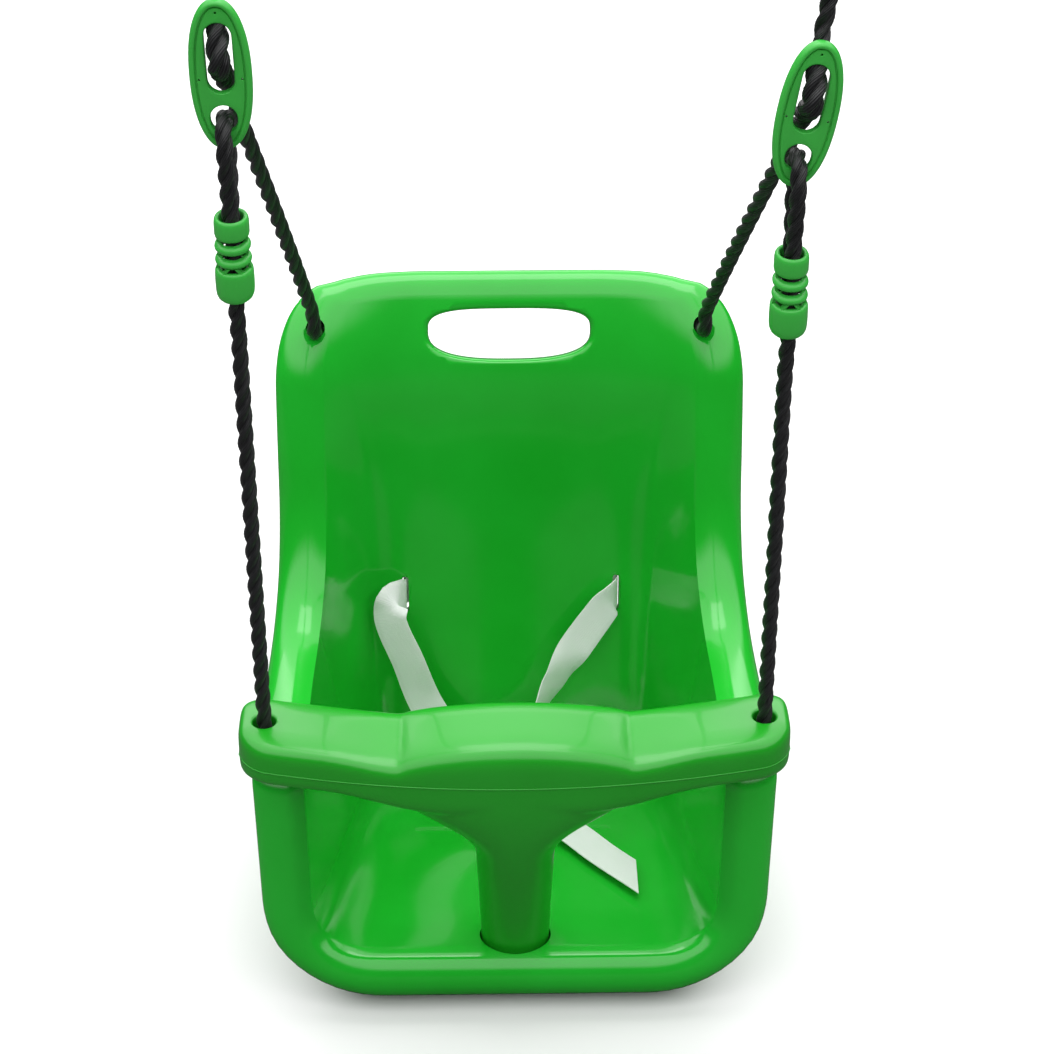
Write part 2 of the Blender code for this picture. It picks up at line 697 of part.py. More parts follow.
def hanging_rope_path(side, sign):
    """From the ring's eye, through the upper clamp, down to the bend above the plate."""
    ring = Vector((sign * HANGER_X, ring_y(side, sign), HANGER_UP))
    bend = rock_point(side, sign)
    down = (bend - ring).normalized()
    turn = RING_WIRE_R + ROPE_R + 0.0008
    up = -down
    front = Vector((0, -1, 0))
    clamp_top = ring + down * UPPER_CLAMP_TOP
    tail = [clamp_top + down * (CLAMP_HEIGHT - 0.022) + front * LEG_OFFSET, clamp_top + front * LEG_OFFSET]
    eye = []
    for k in range(0, 7):
        angle = math.pi * k / 6
        eye.append(ring + front * turn * math.cos(angle) + up * turn * math.sin(angle))
    main = [clamp_top - front * LEG_OFFSET, clamp_top + down * (CLAMP_HEIGHT - 0.006) - front * LEG_OFFSET,
            clamp_top + down * (CLAMP_HEIGHT + 0.055), bend + up * 0.060, bend + up * 0.009]
    tip = domed_tip(bend + up * BEND_GAP, up)[:-1]
    return smooth_path(tail + eye + main, 0.009) + list(reversed(tip))


def ring_y(side, sign):
    return rock_point(side, sign).y


def knot_blob(name, centre, axis, cutters):
    """A stopper knot's outer shape: a ball flattened along its rope."""
    bm = bmesh.new()
    bmesh.ops.create_uvsphere(bm, u_segments=12, v_segments=8, radius=KNOT_R)
    bmesh.ops.scale(bm, vec=(1, 1, 0.92), verts=bm.verts)
    obj = mesh_object(name, bm, cutters)
    obj.matrix_world = Matrix.Translation(centre) @ axis.to_track_quat("Z", "Y").to_matrix().to_4x4()
    return hide_cutter(obj)


def build_ropes(collection, cutters):
    black = material("black rope", BLACK, 0.6)
    for side, sign in SIDES.items():
        front = tube(f"front_rope_{side}", front_rope_path(side, sign), ROPE_R, collection, black)
        knot = Vector((*knot_place(sign), KNOT_POCKET_UP[1] - KNOT_R - 0.0025))
        boolean(front, knot_blob(f"front knot {side}", knot, Vector((0, 0, 1)), cutters), "UNION")
        rear = tube(f"rear_rope_{side}", rear_rope_path(side, sign), ROPE_R, collection, black, domed="first")
        hole = rear_hole(sign)
        _, facing = back_direction(REAR_HOLE_ALONG)
        knot = hole - facing * REAR_KNOT_BEHIND
        boolean(rear, knot_blob(f"rear knot {side}", knot, facing, cutters), "UNION")
        tube(f"hanging_rope_{side}", hanging_rope_path(side, sign), ROPE_R, collection, black, domed="last")


def path_cutter(name, points, cutters):
    """A cutter a little fatter and longer than a rope."""
    first = points[0] + (points[0] - points[1]).normalized() * 2 * GAP
    last = points[-1] + (points[-1] - points[-2]).normalized() * 2 * GAP
    return hide_cutter(tube(name, [first, *points[1:-1], last], ROPE_R + 1.3 * GAP, cutters))


# --- plates, clamps, hangers ----------------------------------------------------------------------

def oval_outline(half_length, half_width, points=48, power=2.25):
    outline = []
    for k in range(points):
        angle = 2 * math.pi * k / points
        c, s = math.cos(angle), math.sin(angle)
        outline.append((half_width * math.copysign(abs(c) ** (2 / power), c),
                        half_length * math.copysign(abs(s) ** (2 / power), s)))
    return outline


def stadium_outline(half_length, radius, points=10):
    """A slot's outline: two half circles joined by straight sides."""
    outline = []
    for end, start in ((1, 0), (-1, 180)):
        for k in range(points + 1):
            angle = math.radians(start + 180 * k / points)
            middle = end * (half_length - radius)
            outline.append((radius * math.cos(angle), middle + radius * math.sin(angle)))
    return outline


def upright(obj, place, offset):
    """Stands a flat shape up in a plate's frame: its outline in the plate, its thickness through it."""
    turn = Matrix.Rotation(math.radians(90), 4, "X")
    obj.matrix_world = place @ Matrix.Translation(offset) @ turn
    return obj


def build_plate(side, sign, collection, cutters):
    place = plate_place(side, sign)
    centre = Vector((0, 0, PLATE_CENTRE))
    bm = extruded_outline(oval_outline(PLATE_LENGTH / 2, PLATE_WIDTH / 2), PLATE_THICKNESS)
    plate = mesh_object(f"rope_plate_{side}", bm, collection, material("clamp plastic", CLAMP_GREEN, 0.35))
    upright(plate, place, centre)
    rim = 0.0028
    recess = extruded_outline(oval_outline(PLATE_LENGTH / 2 - rim, PLATE_WIDTH / 2 - rim), 0.002)
    cutter = hide_cutter(upright(mesh_object(f"plate recess {side}", recess, cutters), place,
                                 centre + Vector((0, -PLATE_THICKNESS / 2, 0))))
    boolean(plate, cutter, "DIFFERENCE")
    slot = extruded_outline(stadium_outline(SLOT_HALF, SLOT_R), 0.03)
    boolean(plate, hide_cutter(upright(mesh_object(f"plate slot {side}", slot, cutters), place,
                                       Vector((0, 0, SLOT_CENTRE)))), "DIFFERENCE")
    hole = extruded_outline(stadium_outline(PLATE_HOLE_R + 0.0006, PLATE_HOLE_R), 0.03)
    boolean(plate, hide_cutter(upright(mesh_object(f"plate hole {side}", hole, cutters), place,
                                       Vector((0, 0, 0)))), "DIFFERENCE")
    boolean(plate, path_cutter(f"plate rear rope clearance {side}", rear_rope_path(side, sign), cutters),
            "DIFFERENCE")
    boolean(plate, path_cutter(f"plate front rope clearance {side}", front_rope_path(side, sign), cutters),
            "DIFFERENCE")


def clamp_profile():
    """The clamp's turned outline as (radius, height), top to bottom: collar, two rings and cup."""
    neck, collar, ring, cup = 0.0078, 0.0102, 0.0112, 0.0114
    return [(0, 0.0525), (0.0085, 0.0525), (collar, 0.0511), (collar, 0.0395), (neck, 0.0382),
            (neck, 0.0366), (ring, 0.0356), (ring, 0.0312), (neck, 0.0303), (neck, 0.0290),
            (ring, 0.0281), (ring, 0.0240), (neck, 0.0227), (neck, 0.0219), (cup, 0.0200),
            (cup, 0.0028), (0.0090, 0.0), (0, 0.0)]


def build_clamp(name, top, down, rope_points, collection, cutters):
    """A rope clamp: its top is where the two rope legs come in, and down is the way it points."""
    bm = bmesh.new()
    verts = [bm.verts.new((r, 0, z)) for r, z in clamp_profile()]
    for a, b in zip(verts, verts[1:]):
        bm.edges.new((a, b))
    bmesh.ops.spin(bm, geom=bm.verts[:] + bm.edges[:], cent=(0, 0, 0), axis=(0, 0, 1),
                   angle=2 * math.pi, steps=16, use_duplicate=False)
    bmesh.ops.remove_doubles(bm, verts=bm.verts, dist=0.00005)
    bmesh.ops.scale(bm, vec=(1, CLAMP_DEPTH_RATIO, 1), verts=bm.verts)
    bmesh.ops.recalc_face_normals(bm, faces=bm.faces)
    clamp = mesh_object(name, bm, collection, material("clamp plastic", CLAMP_GREEN, 0.35))
    up = -down
    side = Vector((0, 1, 0)).cross(up).normalized()
    turn = Matrix((side, up.cross(side), up)).transposed().to_4x4()
    clamp.matrix_world = Matrix.Translation(top + down * CLAMP_HEIGHT) @ turn
    boolean(clamp, path_cutter(f"{name} rope clearance", rope_points, cutters), "DIFFERENCE")


def build_hanger(side, sign, collection):
    bpy.ops.mesh.primitive_torus_add(major_radius=RING_R, minor_radius=RING_WIRE_R, major_segments=28,
                                     minor_segments=8)
    ring = bpy.context.object
    ring.name = f"hanger_ring_{side}"
    ring.location = (sign * HANGER_X, ring_y(side, sign), HANGER_UP + RING_R)
    ring.rotation_euler = (math.radians(90), 0, 0)
    ring.data.shade_smooth()
    ring.data.materials.append(material("zinc plated steel", STEEL, 0.3, 1.0))
    for holder in list(ring.users_collection):
        holder.objects.unlink(ring)
    collection.objects.link(ring)


# --- belt -----------------------------------------------------------------------------------------

def belt_frames():
    """The belt's middle line and the direction of its width, from one free end to the other."""
    left = belt_slot(-1)
    right = belt_slot(1)
    run, facing = back_direction(BELT_SLOT_UP)
    behind = -facing * (WALL + 0.0035)
    left_side = [
        ((0.0880, -0.0520, 0.0345), (0.75, 0.66, 0.0)),
        ((0.0640, -0.0200, 0.0300), (0.72, 0.69, 0.0)),
        ((0.0404, 0.0120, 0.0275), (0.60, 0.80, 0.0)),
        ((0.0020, 0.0420, 0.0330), (0.60, 0.78, 0.12)),
        ((-0.0340, 0.0620, 0.0560), (0.84, 0.44, 0.28)),
        ((-0.0619, 0.0770, 0.0918), (0.96, 0.08, 0.24)),
        ((-0.0764, 0.0800, 0.1330), (0.95, -0.15, 0.20)),
        ((-0.0880, 0.0840, 0.1646), (0.84, -0.20, 0.50)),
        ((-0.0865, 0.0880, 0.1785), (0.62, -0.25, -0.74)),
        ((-0.0812, 0.0970, 0.1776), (0.12, 0.0, -0.99)),
    ]
    right_side = [
        ((0.0750, 0.1020, 0.1725), (0.02, 0.0, -0.99)),
        ((0.0690, 0.0960, 0.1675), (0.42, -0.05, -0.90)),
        ((0.0480, 0.0880, 0.1385), (0.64, -0.10, -0.76)),
        ((0.0330, 0.0830, 0.1130), (0.60, 0.50, -0.62)),
        ((0.0210, 0.0760, 0.0900), (0.45, 0.80, -0.38)),
        ((0.0060, 0.0640, 0.0600), (0.55, 0.78, -0.25)),
        ((-0.0100, 0.0420, 0.0380), (0.80, -0.58, -0.15)),
        ((-0.0240, 0.0150, 0.0300), (0.86, -0.50, -0.03)),
    ]
    inward = Vector((0.009, 0, 0))
    out = facing * 0.002
    through = [left + out, left + behind * 0.85, left + behind * 1.2 + inward,
               right + behind * 1.2 - inward, right + behind * 0.85, right + out]
    frames = left_side + [(spot, -run) for spot in through] + right_side
    return [(Vector(p), Vector(w).normalized()) for p, w in frames]


def build_belt(collection):
    frames = belt_frames()
    spots = [p for p, _ in frames]
    widths = [w for _, w in frames]
    count = 64
    bm = bmesh.new()
    sections = []
    for k in range(count + 1):
        share = k / count
        middle = through_chords(spots, share)
        ahead = through_chords(spots, min(share + 0.004, 1)) - through_chords(spots, max(share - 0.004, 0))
        width = belt_width_at(spots, widths, share)
        width = (width - ahead.normalized() * width.dot(ahead.normalized())).normalized()
        side = width * BELT_WIDTH / 2
        lift = ahead.normalized().cross(width) * BELT_THICKNESS / 2
        corners = [-side - lift, side - lift, side + lift, lift - side]
        sections.append([middle + corner for corner in corners])
    loft(bm, sections, close_start=True, close_end=True)
    bmesh.ops.recalc_face_normals(bm, faces=bm.faces)
    return mesh_object("lap_belt", bm, collection, material("white webbing", WHITE, 0.85))


def belt_width_at(spots, widths, share):
    """The width direction, turned evenly between the belt's stations."""
    distances = [0.0]
    for a, b in zip(spots, spots[1:]):
        distances.append(distances[-1] + (b - a).length)
    place = share * distances[-1]
    i = 0
    while i < len(spots) - 2 and place > distances[i + 1]:
        i += 1
    t = (place - distances[i]) / (distances[i + 1] - distances[i])
    return widths[i].lerp(widths[i + 1], smooth_step(0, 1, t))


# --- whole swing ----------------------------------------------------------------------------------

def bucket_columns():
    return (evenly(0, SEAT_SHARE, 4) + evenly(SEAT_SHARE, WALL_SHARE, 4)[1:] + evenly(WALL_SHARE, 0.92, 3)[1:]
            + evenly(0.92, 1, 3)[1:])


def bucket_rows():
    return (evenly(0, FRONT_CORNER[1], 3) + evenly(FRONT_CORNER[1], 0.30, 4)[1:] + evenly(0.30, 0.62, 8)[1:]
            + evenly(0.62, 1 - TOP_CORNER[1], 5)[1:] + evenly(1 - TOP_CORNER[1], 1, 4)[1:])


def build_swing():
    clear_scene()
    parts = new_collection("toddler_bucket_swing")
    cutters = new_collection("cutters")
    build_bucket(parts, cutters, bucket_columns(), bucket_rows())
    build_t_bar(parts, cutters)
    build_ropes(parts, cutters)
    down = Vector((0, 0, -1))
    for side, sign in SIDES.items():
        build_plate(side, sign, parts, cutters)
        lower_top = Vector((sign * ROPE_X, ROPE_Y, PLATE_HOLE_UP[side] - CLAMP_TOP_BELOW_HOLE))
        build_clamp(f"lower_clamp_{side}", lower_top, down, front_rope_path(side, sign), parts, cutters)
        ring = Vector((sign * HANGER_X, ring_y(side, sign), HANGER_UP))
        lean = (rock_point(side, sign) - ring).normalized()
        build_clamp(f"upper_clamp_{side}", ring + lean * UPPER_CLAMP_TOP, lean, hanging_rope_path(side, sign),
                    parts, cutters)
        build_hanger(side, sign, parts)
    build_belt(parts)


build_swing()
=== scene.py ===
"""Looks of the toddler bucket swing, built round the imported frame.

Metres, +Z up, the child faces -Y. The bucket stands on the ground plane, under two hangers.
"""

import math

import bmesh
import bpy
from mathutils import Matrix, Vector
from mathutils.bvhtree import BVHTree


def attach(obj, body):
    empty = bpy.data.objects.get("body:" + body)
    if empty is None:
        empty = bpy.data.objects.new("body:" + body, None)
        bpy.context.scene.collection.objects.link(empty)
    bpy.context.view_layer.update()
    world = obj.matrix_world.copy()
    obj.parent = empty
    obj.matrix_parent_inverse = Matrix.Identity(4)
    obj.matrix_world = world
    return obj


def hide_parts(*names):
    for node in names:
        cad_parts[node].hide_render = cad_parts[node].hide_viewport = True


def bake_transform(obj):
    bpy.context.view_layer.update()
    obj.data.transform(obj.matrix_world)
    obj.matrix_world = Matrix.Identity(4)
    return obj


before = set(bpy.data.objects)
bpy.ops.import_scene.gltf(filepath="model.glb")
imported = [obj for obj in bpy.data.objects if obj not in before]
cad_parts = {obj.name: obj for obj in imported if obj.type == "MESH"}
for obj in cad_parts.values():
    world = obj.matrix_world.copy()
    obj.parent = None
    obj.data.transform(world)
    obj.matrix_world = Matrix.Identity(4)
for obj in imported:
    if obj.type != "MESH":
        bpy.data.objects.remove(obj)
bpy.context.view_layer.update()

# Driving dimensions, shared with the CAD model.
WALL = 0.010                      # bucket wall, inside to outside
ARM_TOP = 0.193                   # height the T-bar rests at
RIM_WIDTH = 0.034                 # rolled rim, inner edge to outer edge
TOP_RIM_WIDTH = 0.019             # the same along the top of the back
FRONT_RIM_WIDTH = 0.031           # and under the child's legs
RIM_DEPTH = 0.026                 # rolled rim, front to back
POST_DEPTH = 0.012                # the same down the two front posts
LIP_DEPTH = 0.030                 # and under the child's legs
TOP_RIM_DEPTH = 0.018             # and round the top of the back
CORNER_THINNING = 2.2             # how much thinner the rim gets where a post turns into an arm
RIM_STEPS = 6                     # steps round a quarter of the rim's roll
RIM_CREST = 0.003                 # how far the rim swells above its inner edge
FRONT_CREST = 0.007               # the same on the lip and the two front posts

ROPE_R = 0.0052
ROPE_X = 0.163                    # sideways place of the front ropes
ROPE_Y = -0.122
ROPE_HOLE_R = 0.0075
REAR_HOLE_R = 0.0066
FRONT_KNOT_UP = 0.1668            # height at which a front rope enters its knot
KNOT_SHIFT = (0.0075, 0.0030)     # a front knot's place, inward and back from its rope
KNOT_POCKET_R = 0.014
KNOT_POCKET_DEPTH = 0.024         # how far below the arm's top a front knot's pocket starts
KNOT_POCKET_FLOOR = 0.054         # how far below the arm's top its cutter starts
KNOT_POCKET_REACH = 0.032         # and how far up that cutter reaches
REAR_HOLE = (0.136, 0.121, 0.384)
REAR_KNOT_BEHIND = 0.046          # from the front of a rear hole back to the middle of its knot
REAR_HOLE_ALONG = 0.345           # the rear holes go square through the back as it leans at this height

BAR_END = 0.180                   # half the length of the T-bar
BAR_TOP = 0.2265
BAR_PAD_HALF = 0.074              # the raised middle pad ends in a crease here
BAR_PAD_RISE = 0.012              # the pad's rise along its back edge
BAR_CREASE_DROP = 0.006           # how far the front edge dips at the crease
BAR_HALF_DEPTH = 0.031
BAR_CORNER = 0.020                # rounding of the bar's ends, seen from above
BAR_EDGE = 0.005                  # rounding of their upper and lower edges
PARTING_UP = 0.207                # height of the moulding's parting line
PARTING_R = 0.00055
POST_FOOT_R = 0.0225
POST_FOOT_Y = -0.116
SOCKET_R = 0.0245
SOCKET_FLOOR = 0.012
REST_GAP = 0.0003

PLATE_LENGTH = 0.089
PLATE_WIDTH = 0.0355
PLATE_THICKNESS = 0.008
PLATE_HOLE_UP = {"left": 0.648, "right": 0.622}     # height of each plate's lower hole
PLATE_LEAN = {"left": math.radians(1), "right": math.radians(9)}
PLATE_HOLE_R = 0.0078
SLOT_HALF = 0.0208                # half the plate's long slot
SLOT_R = 0.0078
SLOT_CENTRE = 0.0364              # above the lower hole
PLATE_CENTRE = 0.0261             # above the lower hole

CLAMP_HEIGHT = 0.0525
CLAMP_BORE = 0.0070               # half width of the clamp's bore
CLAMP_EXTRA_DEPTH = 0.0024        # clamps are deeper than wide: two rope legs lie one behind the other
CLAMP_OVAL_POWER = 2.1            # 2 is an ellipse, more is squarer
CLAMP_TOP_BELOW_HOLE = 0.0605     # from a plate's lower hole down to the clamp under it
LEG_OFFSET = 0.0048               # each rope leg's distance from the clamp's middle

RING_WIRE_R = 0.004
RING_R = 0.025
HANGER_X = 0.205
HANGER_UP = 0.960                 # height of the ring wire that the rope hangs on
UPPER_CLAMP_TOP = 0.038           # below the ring wire

BELT_WIDTH = 0.025
BELT_THICKNESS = 0.0016
BELT_SLOT_HALF = 0.0148
BELT_SLOT_R = 0.0022
BELT_SLOT_X = 0.0775
BELT_SLOT_UP = 0.171

FOOT_PAD = (0.150, 0.056, 0.0165)     # the low pad under the seat that the bucket stands on
HANDLE_UP = 0.3720                # height of the hand slot's middle
HANDLE_HALF_WIDTH = 0.0575
HANDLE_ABOVE = 0.0165             # from its middle up to its nearly straight upper edge
HANDLE_BELOW = 0.0200             # and down to its bowed lower edge
HANDLE_ROUNDING = 0.0045

ARM_HOLE_ROUNDING = 0.0018        # edges of the other openings
REAR_HOLE_ROUNDING = 0.0016
BELT_SLOT_ROUNDING = 0.0012
OPENING_ROUNDING = 0.0009
PIN_MARK_R = 0.0007
PIN_MARK_ROUNDING = 0.0002

SIDES = {"left": -1, "right": 1}
UP = Vector((0, 0, 1))
DOWN = -UP

# Each material's darkest and brightest colour.
BUCKET_GREENS = ((0.010, 0.430, 0.020, 1), (0.014, 0.480, 0.028, 1))
BAR_GREENS = ((0.008, 0.320, 0.010, 1), (0.010, 0.350, 0.013, 1))
CLAMP_GREENS = ((0.040, 0.460, 0.052, 1), (0.052, 0.520, 0.066, 1))
ROPE_BLACKS = ((0.003, 0.003, 0.0035, 1), (0.022, 0.0225, 0.025, 1))
WEBBING_WHITES = ((0.86, 0.88, 0.87, 1), (0.98, 0.98, 0.98, 1))
STEEL_GREYS = ((0.46, 0.47, 0.49, 1), (0.70, 0.71, 0.72, 1))
SCUFF_ROUGHNESS = 0.04            # how much rougher scuffed plastic is

# The bucket's side view from front to top: the middle of the seat and back, and the rim's inner edge.
SEAT_LINE = [(-0.133, 0.042), (-0.075, 0.030), (-0.005, 0.021), (0.055, 0.015), (0.090, 0.038),
             (0.101, 0.100), (0.109, 0.170), (0.118, 0.245), (0.128, 0.325), (0.138, 0.3965)]
RIM_LINE = [(-0.133, 0.190), (-0.085, 0.190), (-0.030, 0.190), (0.012, 0.194), (0.040, 0.205),
            (0.062, 0.226), (0.080, 0.258), (0.095, 0.300), (0.112, 0.350), (0.131, 0.3985)]
SEAT_HALF_WIDTH = [0.137, 0.127, 0.115, 0.105, 0.098, 0.095, 0.093, 0.092, 0.091, 0.090]
RIM_HALF_WIDTH = [0.139, 0.139, 0.138, 0.136, 0.134, 0.132, 0.131, 0.131, 0.131, 0.131]

SEAT_SHARE = 0.42                 # where along the half section the seat ends and the bend starts
WALL_SHARE = 0.64                 # where the side wall starts
BEND_REACH = 0.030
FRONT_BEND_REACH = 0.041
FRONT_CORNER = (0.052, 0.036)     # rounding of the rim's corners, as shares of half section and side view
TOP_CORNER = (0.50, 0.125)
ROLL_START = 0.88                 # where along the side view the top of the back starts to roll backward
TOP_ROLL = 0.012                  # and how far it has rolled at its end

# Rope lay: three strands round one another.
STRAND_OFFSET = 0.00232
STRAND_R = 0.00288
LAY_LENGTH = 0.039                # one full turn of a strand
REAR_LAY_LENGTH = 0.056           # the same where the rope runs back from a plate, pulled straighter
LOBE_STEPS = 8                    # sides to the visible part of a strand
LOBE_SHARE = 0.315                # the share of its girth that a strand shows
SLOT_SWELL = 0.32                 # how much thicker a hanging rope gets in its plate's slot
KNOT_TIGHTNESS = 0.78             # a rope's thickness inside its knot
ROPE_STEP = 0.0026                # between rings along a rope


# --- small helpers ----------------------------------------------------------------------------------

def evenly(start, end, count):
    return [start + (end - start) * k / count for k in range(count + 1)]


def blend_through(values, share):
    """A smooth curve through evenly spaced values, at share 0 to 1 of its length."""
    last = len(values) - 1
    place = min(max(share, 0.0), 1.0) * last
    i = min(int(place), last - 1)
    t = place - i
    before = values[i - 1] if i > 0 else 2 * values[0] - values[1]
    after = values[i + 2] if i + 2 <= last else 2 * values[last] - values[last - 1]
    a, b = values[i], values[i + 1]
    return 0.5 * (2 * a + (b - before) * t + (2 * before - 5 * a + 4 * b - after) * t * t
                  + (3 * a - before - 3 * b + after) * t ** 3)


def through_points(points, share):
    return Vector([blend_through([p[k] for p in points], share) for k in range(len(points[0]))])


def smooth_step(low, high, value):
    t = min(max((value - low) / (high - low), 0.0), 1.0)
    return t * t * (3 - 2 * t)


def new_object(name, bm):
    mesh = bpy.data.meshes.new(name)
    bm.to_mesh(mesh)
    bm.free()
    obj = bpy.data.objects.new(name, mesh)
    bpy.context.scene.collection.objects.link(obj)
    return obj


def settle(obj):
    """Turns an object's modifiers into its mesh."""
    bpy.context.view_layer.update()
    graph = bpy.context.evaluated_depsgraph_get()
    mesh = bpy.data.meshes.new_from_object(obj.evaluated_get(graph))
    obj.modifiers.clear()
    obj.data = mesh
    return obj


def remove(obj):
    bpy.data.objects.remove(obj)


def combine(obj, other, operation):
    """Cuts or joins another object into this one, and uses that one up."""
    modifier = obj.modifiers.new("combine", "BOOLEAN")
    modifier.object = other
    modifier.operation = operation
    modifier.solver = "EXACT"
    settle(obj)
    remove(other)


def cut(obj, other):
    combine(obj, other, "DIFFERENCE")


def smooth(obj, angle):
    """Smooth shading, with edges sharper than an angle kept crisp."""
    obj.data.shade_smooth()
    obj.data.set_sharp_from_angle(angle=math.radians(angle))


def join_rings(bm, near, far):
    """A band of faces between two rings of corners."""
    next_near = near[1:] + near[:1]
    next_far = far[1:] + far[:1]
    return [bm.faces.new(corners) for corners in zip(near, next_near, next_far, far)]


def cap_ends(bm, rings):
    bm.faces.new(list(reversed(rings[0])))
    bm.faces.new(rings[-1])


def loft(bm, sections):
    """A closed solid through sections, with flat ends."""
    rings = [[bm.verts.new(p) for p in section] for section in sections]
    for near, far in zip(rings, rings[1:]):
        join_rings(bm, near, far)
    cap_ends(bm, rings)


def loft_round(bm, sections):
    """A closed solid through sections, back to the first of them."""
    rings = [[bm.verts.new(p) for p in section] for section in sections]
    for near, far in zip(rings, rings[1:] + rings[:1]):
        join_rings(bm, near, far)


def laid_skin(name, sections, lengths, spans):
    """A closed skin whose UVs run along its lengths and, on each of its sides, across that side's span."""
    bm = bmesh.new()
    uv = bm.loops.layers.uv.new("UVMap")
    rings = [[bm.verts.new(p) for p in section] for section in sections]
    for k in range(len(rings) - 1):
        for face, (start, end) in zip(join_rings(bm, rings[k], rings[k + 1]), spans):
            spots = ((lengths[k], start), (lengths[k], end), (lengths[k + 1], end), (lengths[k + 1], start))
            for loop, spot in zip(face.loops, spots):
                loop[uv].uv = spot
    cap_ends(bm, rings)
    bmesh.ops.recalc_face_normals(bm, faces=bm.faces)
    return new_object(name, bm)


def solid_of(name, sections):
    """A closed solid lofted through sections, facing outward."""
    bm = bmesh.new()
    loft(bm, sections)
    bmesh.ops.recalc_face_normals(bm, faces=bm.faces)
    return new_object(name, bm)


def finish_piece(obj, material, angle, material_slot, *nodes):
    """Gives a piece its shading and material, and hides the CAD parts that it stands for."""
    smooth(obj, angle)
    obj.data.materials.clear()
    obj.data.materials.append(material)
    if nodes:
        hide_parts(*nodes)


def oval_point(angle, half_x, half_y, power):
    """A point on an oval between an ellipse, power 2, and a rectangle."""
    c, s = math.cos(angle), math.sin(angle)
    x = half_x * math.copysign(abs(c) ** (2 / power), c)
    y = half_y * math.copysign(abs(s) ** (2 / power), s)
    return x, y


def oval(half_x, half_y, points, power):
    return [oval_point(2 * math.pi * k / points, half_x, half_y, power) for k in range(points)]


def circle(radius, sides):
    return [(radius * math.cos(2 * math.pi * k / sides), radius * math.sin(2 * math.pi * k / sides))
            for k in range(sides)]


def grown(outline, amount):
    """A flat outline moved outward by an amount, square to itself."""
    moved = []
    count = len(outline)
    for k, (x, y) in enumerate(outline):
        before = Vector(outline[k - 1])
        after = Vector(outline[(k + 1) % count])
        run = (after - before).normalized()
        moved.append((x + run.y * amount, y - run.x * amount))
    return moved


def flared_cutter(name, outline, place, high, low, rounding, reach=0.03):
    """A cutter along a frame's Z that leaves rounded edges where it meets faces at heights high and low."""
    steps = [(high + reach, rounding + reach * 0.6)]
    angles = [math.radians(a) for a in (90, 70, 50, 30, 12, 0)]
    for angle in angles:
        steps.append((high - rounding * (1 - math.sin(angle)), rounding * (1 - math.cos(angle))))
    for angle in reversed(angles):
        steps.append((low + rounding * (1 - math.sin(angle)), rounding * (1 - math.cos(angle))))
    steps.append((low - reach, rounding + reach * 0.6))
    sections = []
    for height, growth in steps:
        sections.append([place @ Vector((x, y, height)) for x, y in grown(outline, growth)])
    return solid_of(name, sections)


def along_axis(point, axis, across=Vector((1, 0, 0))):
    """A frame at a point whose Z is an axis and whose X is near a direction."""
    z = axis.normalized()
    y = z.cross(across).normalized()
    return Matrix.Translation(point) @ Matrix((y.cross(z), y, z)).transposed().to_4x4()


# --- materials --------------------------------------------------------------------------------------

def feed(tree, socket, value):
    """Sets an input to a value, or links it from another node's socket."""
    if isinstance(value, bpy.types.NodeSocket):
        tree.links.new(value, socket)
    else:
        socket.default_value = value


def give(tree, shader, **inputs):
    for name, value in inputs.items():
        feed(tree, shader.inputs[name.replace("_", " ")], value)


def node(tree, kind, settings=None, **inputs):
    """Adds a shader node. Inputs are values, or sockets to link from."""
    made = tree.nodes.new("ShaderNode" + kind)
    for name, value in (settings or {}).items():
        setattr(made, name, value)
    give(tree, made, **inputs)
    return made


def mixed(tree, share, first, second):
    """A colour between two others."""
    mix = tree.nodes.new("ShaderNodeMix")
    mix.data_type = "RGBA"
    feed(tree, mix.inputs[6], first)
    feed(tree, mix.inputs[7], second)
    feed(tree, mix.inputs[0], share)
    return mix.outputs[2]


def new_material(name):
    made = bpy.data.materials.new(name)
    made.use_nodes = True
    return made, made.node_tree, made.node_tree.nodes["Principled BSDF"]


def noise(tree, vector, scale, detail):
    return node(tree, "TexNoise", Vector=vector, Scale=scale, Detail=detail).outputs["Fac"]


def waves(tree, direction, vector, scale, **shape):
    settings = {"bands_direction": direction, "wave_profile": "SIN"}
    return node(tree, "TexWave", settings, Vector=vector, Scale=scale, **shape).outputs["Fac"]


def calculated(tree, operation, first, second):
    made = node(tree, "Math", {"operation": operation})
    feed(tree, made.inputs[0], first)
    feed(tree, made.inputs[1], second)
    return made.outputs[0]


def to_range(tree, value, low, high, new_low, new_high):
    made = tree.nodes.new("ShaderNodeMapRange")
    tree.links.new(value, made.inputs[0])
    for k, number in enumerate((low, high, new_low, new_high), 1):
        made.inputs[k].default_value = number
    return made.outputs[0]


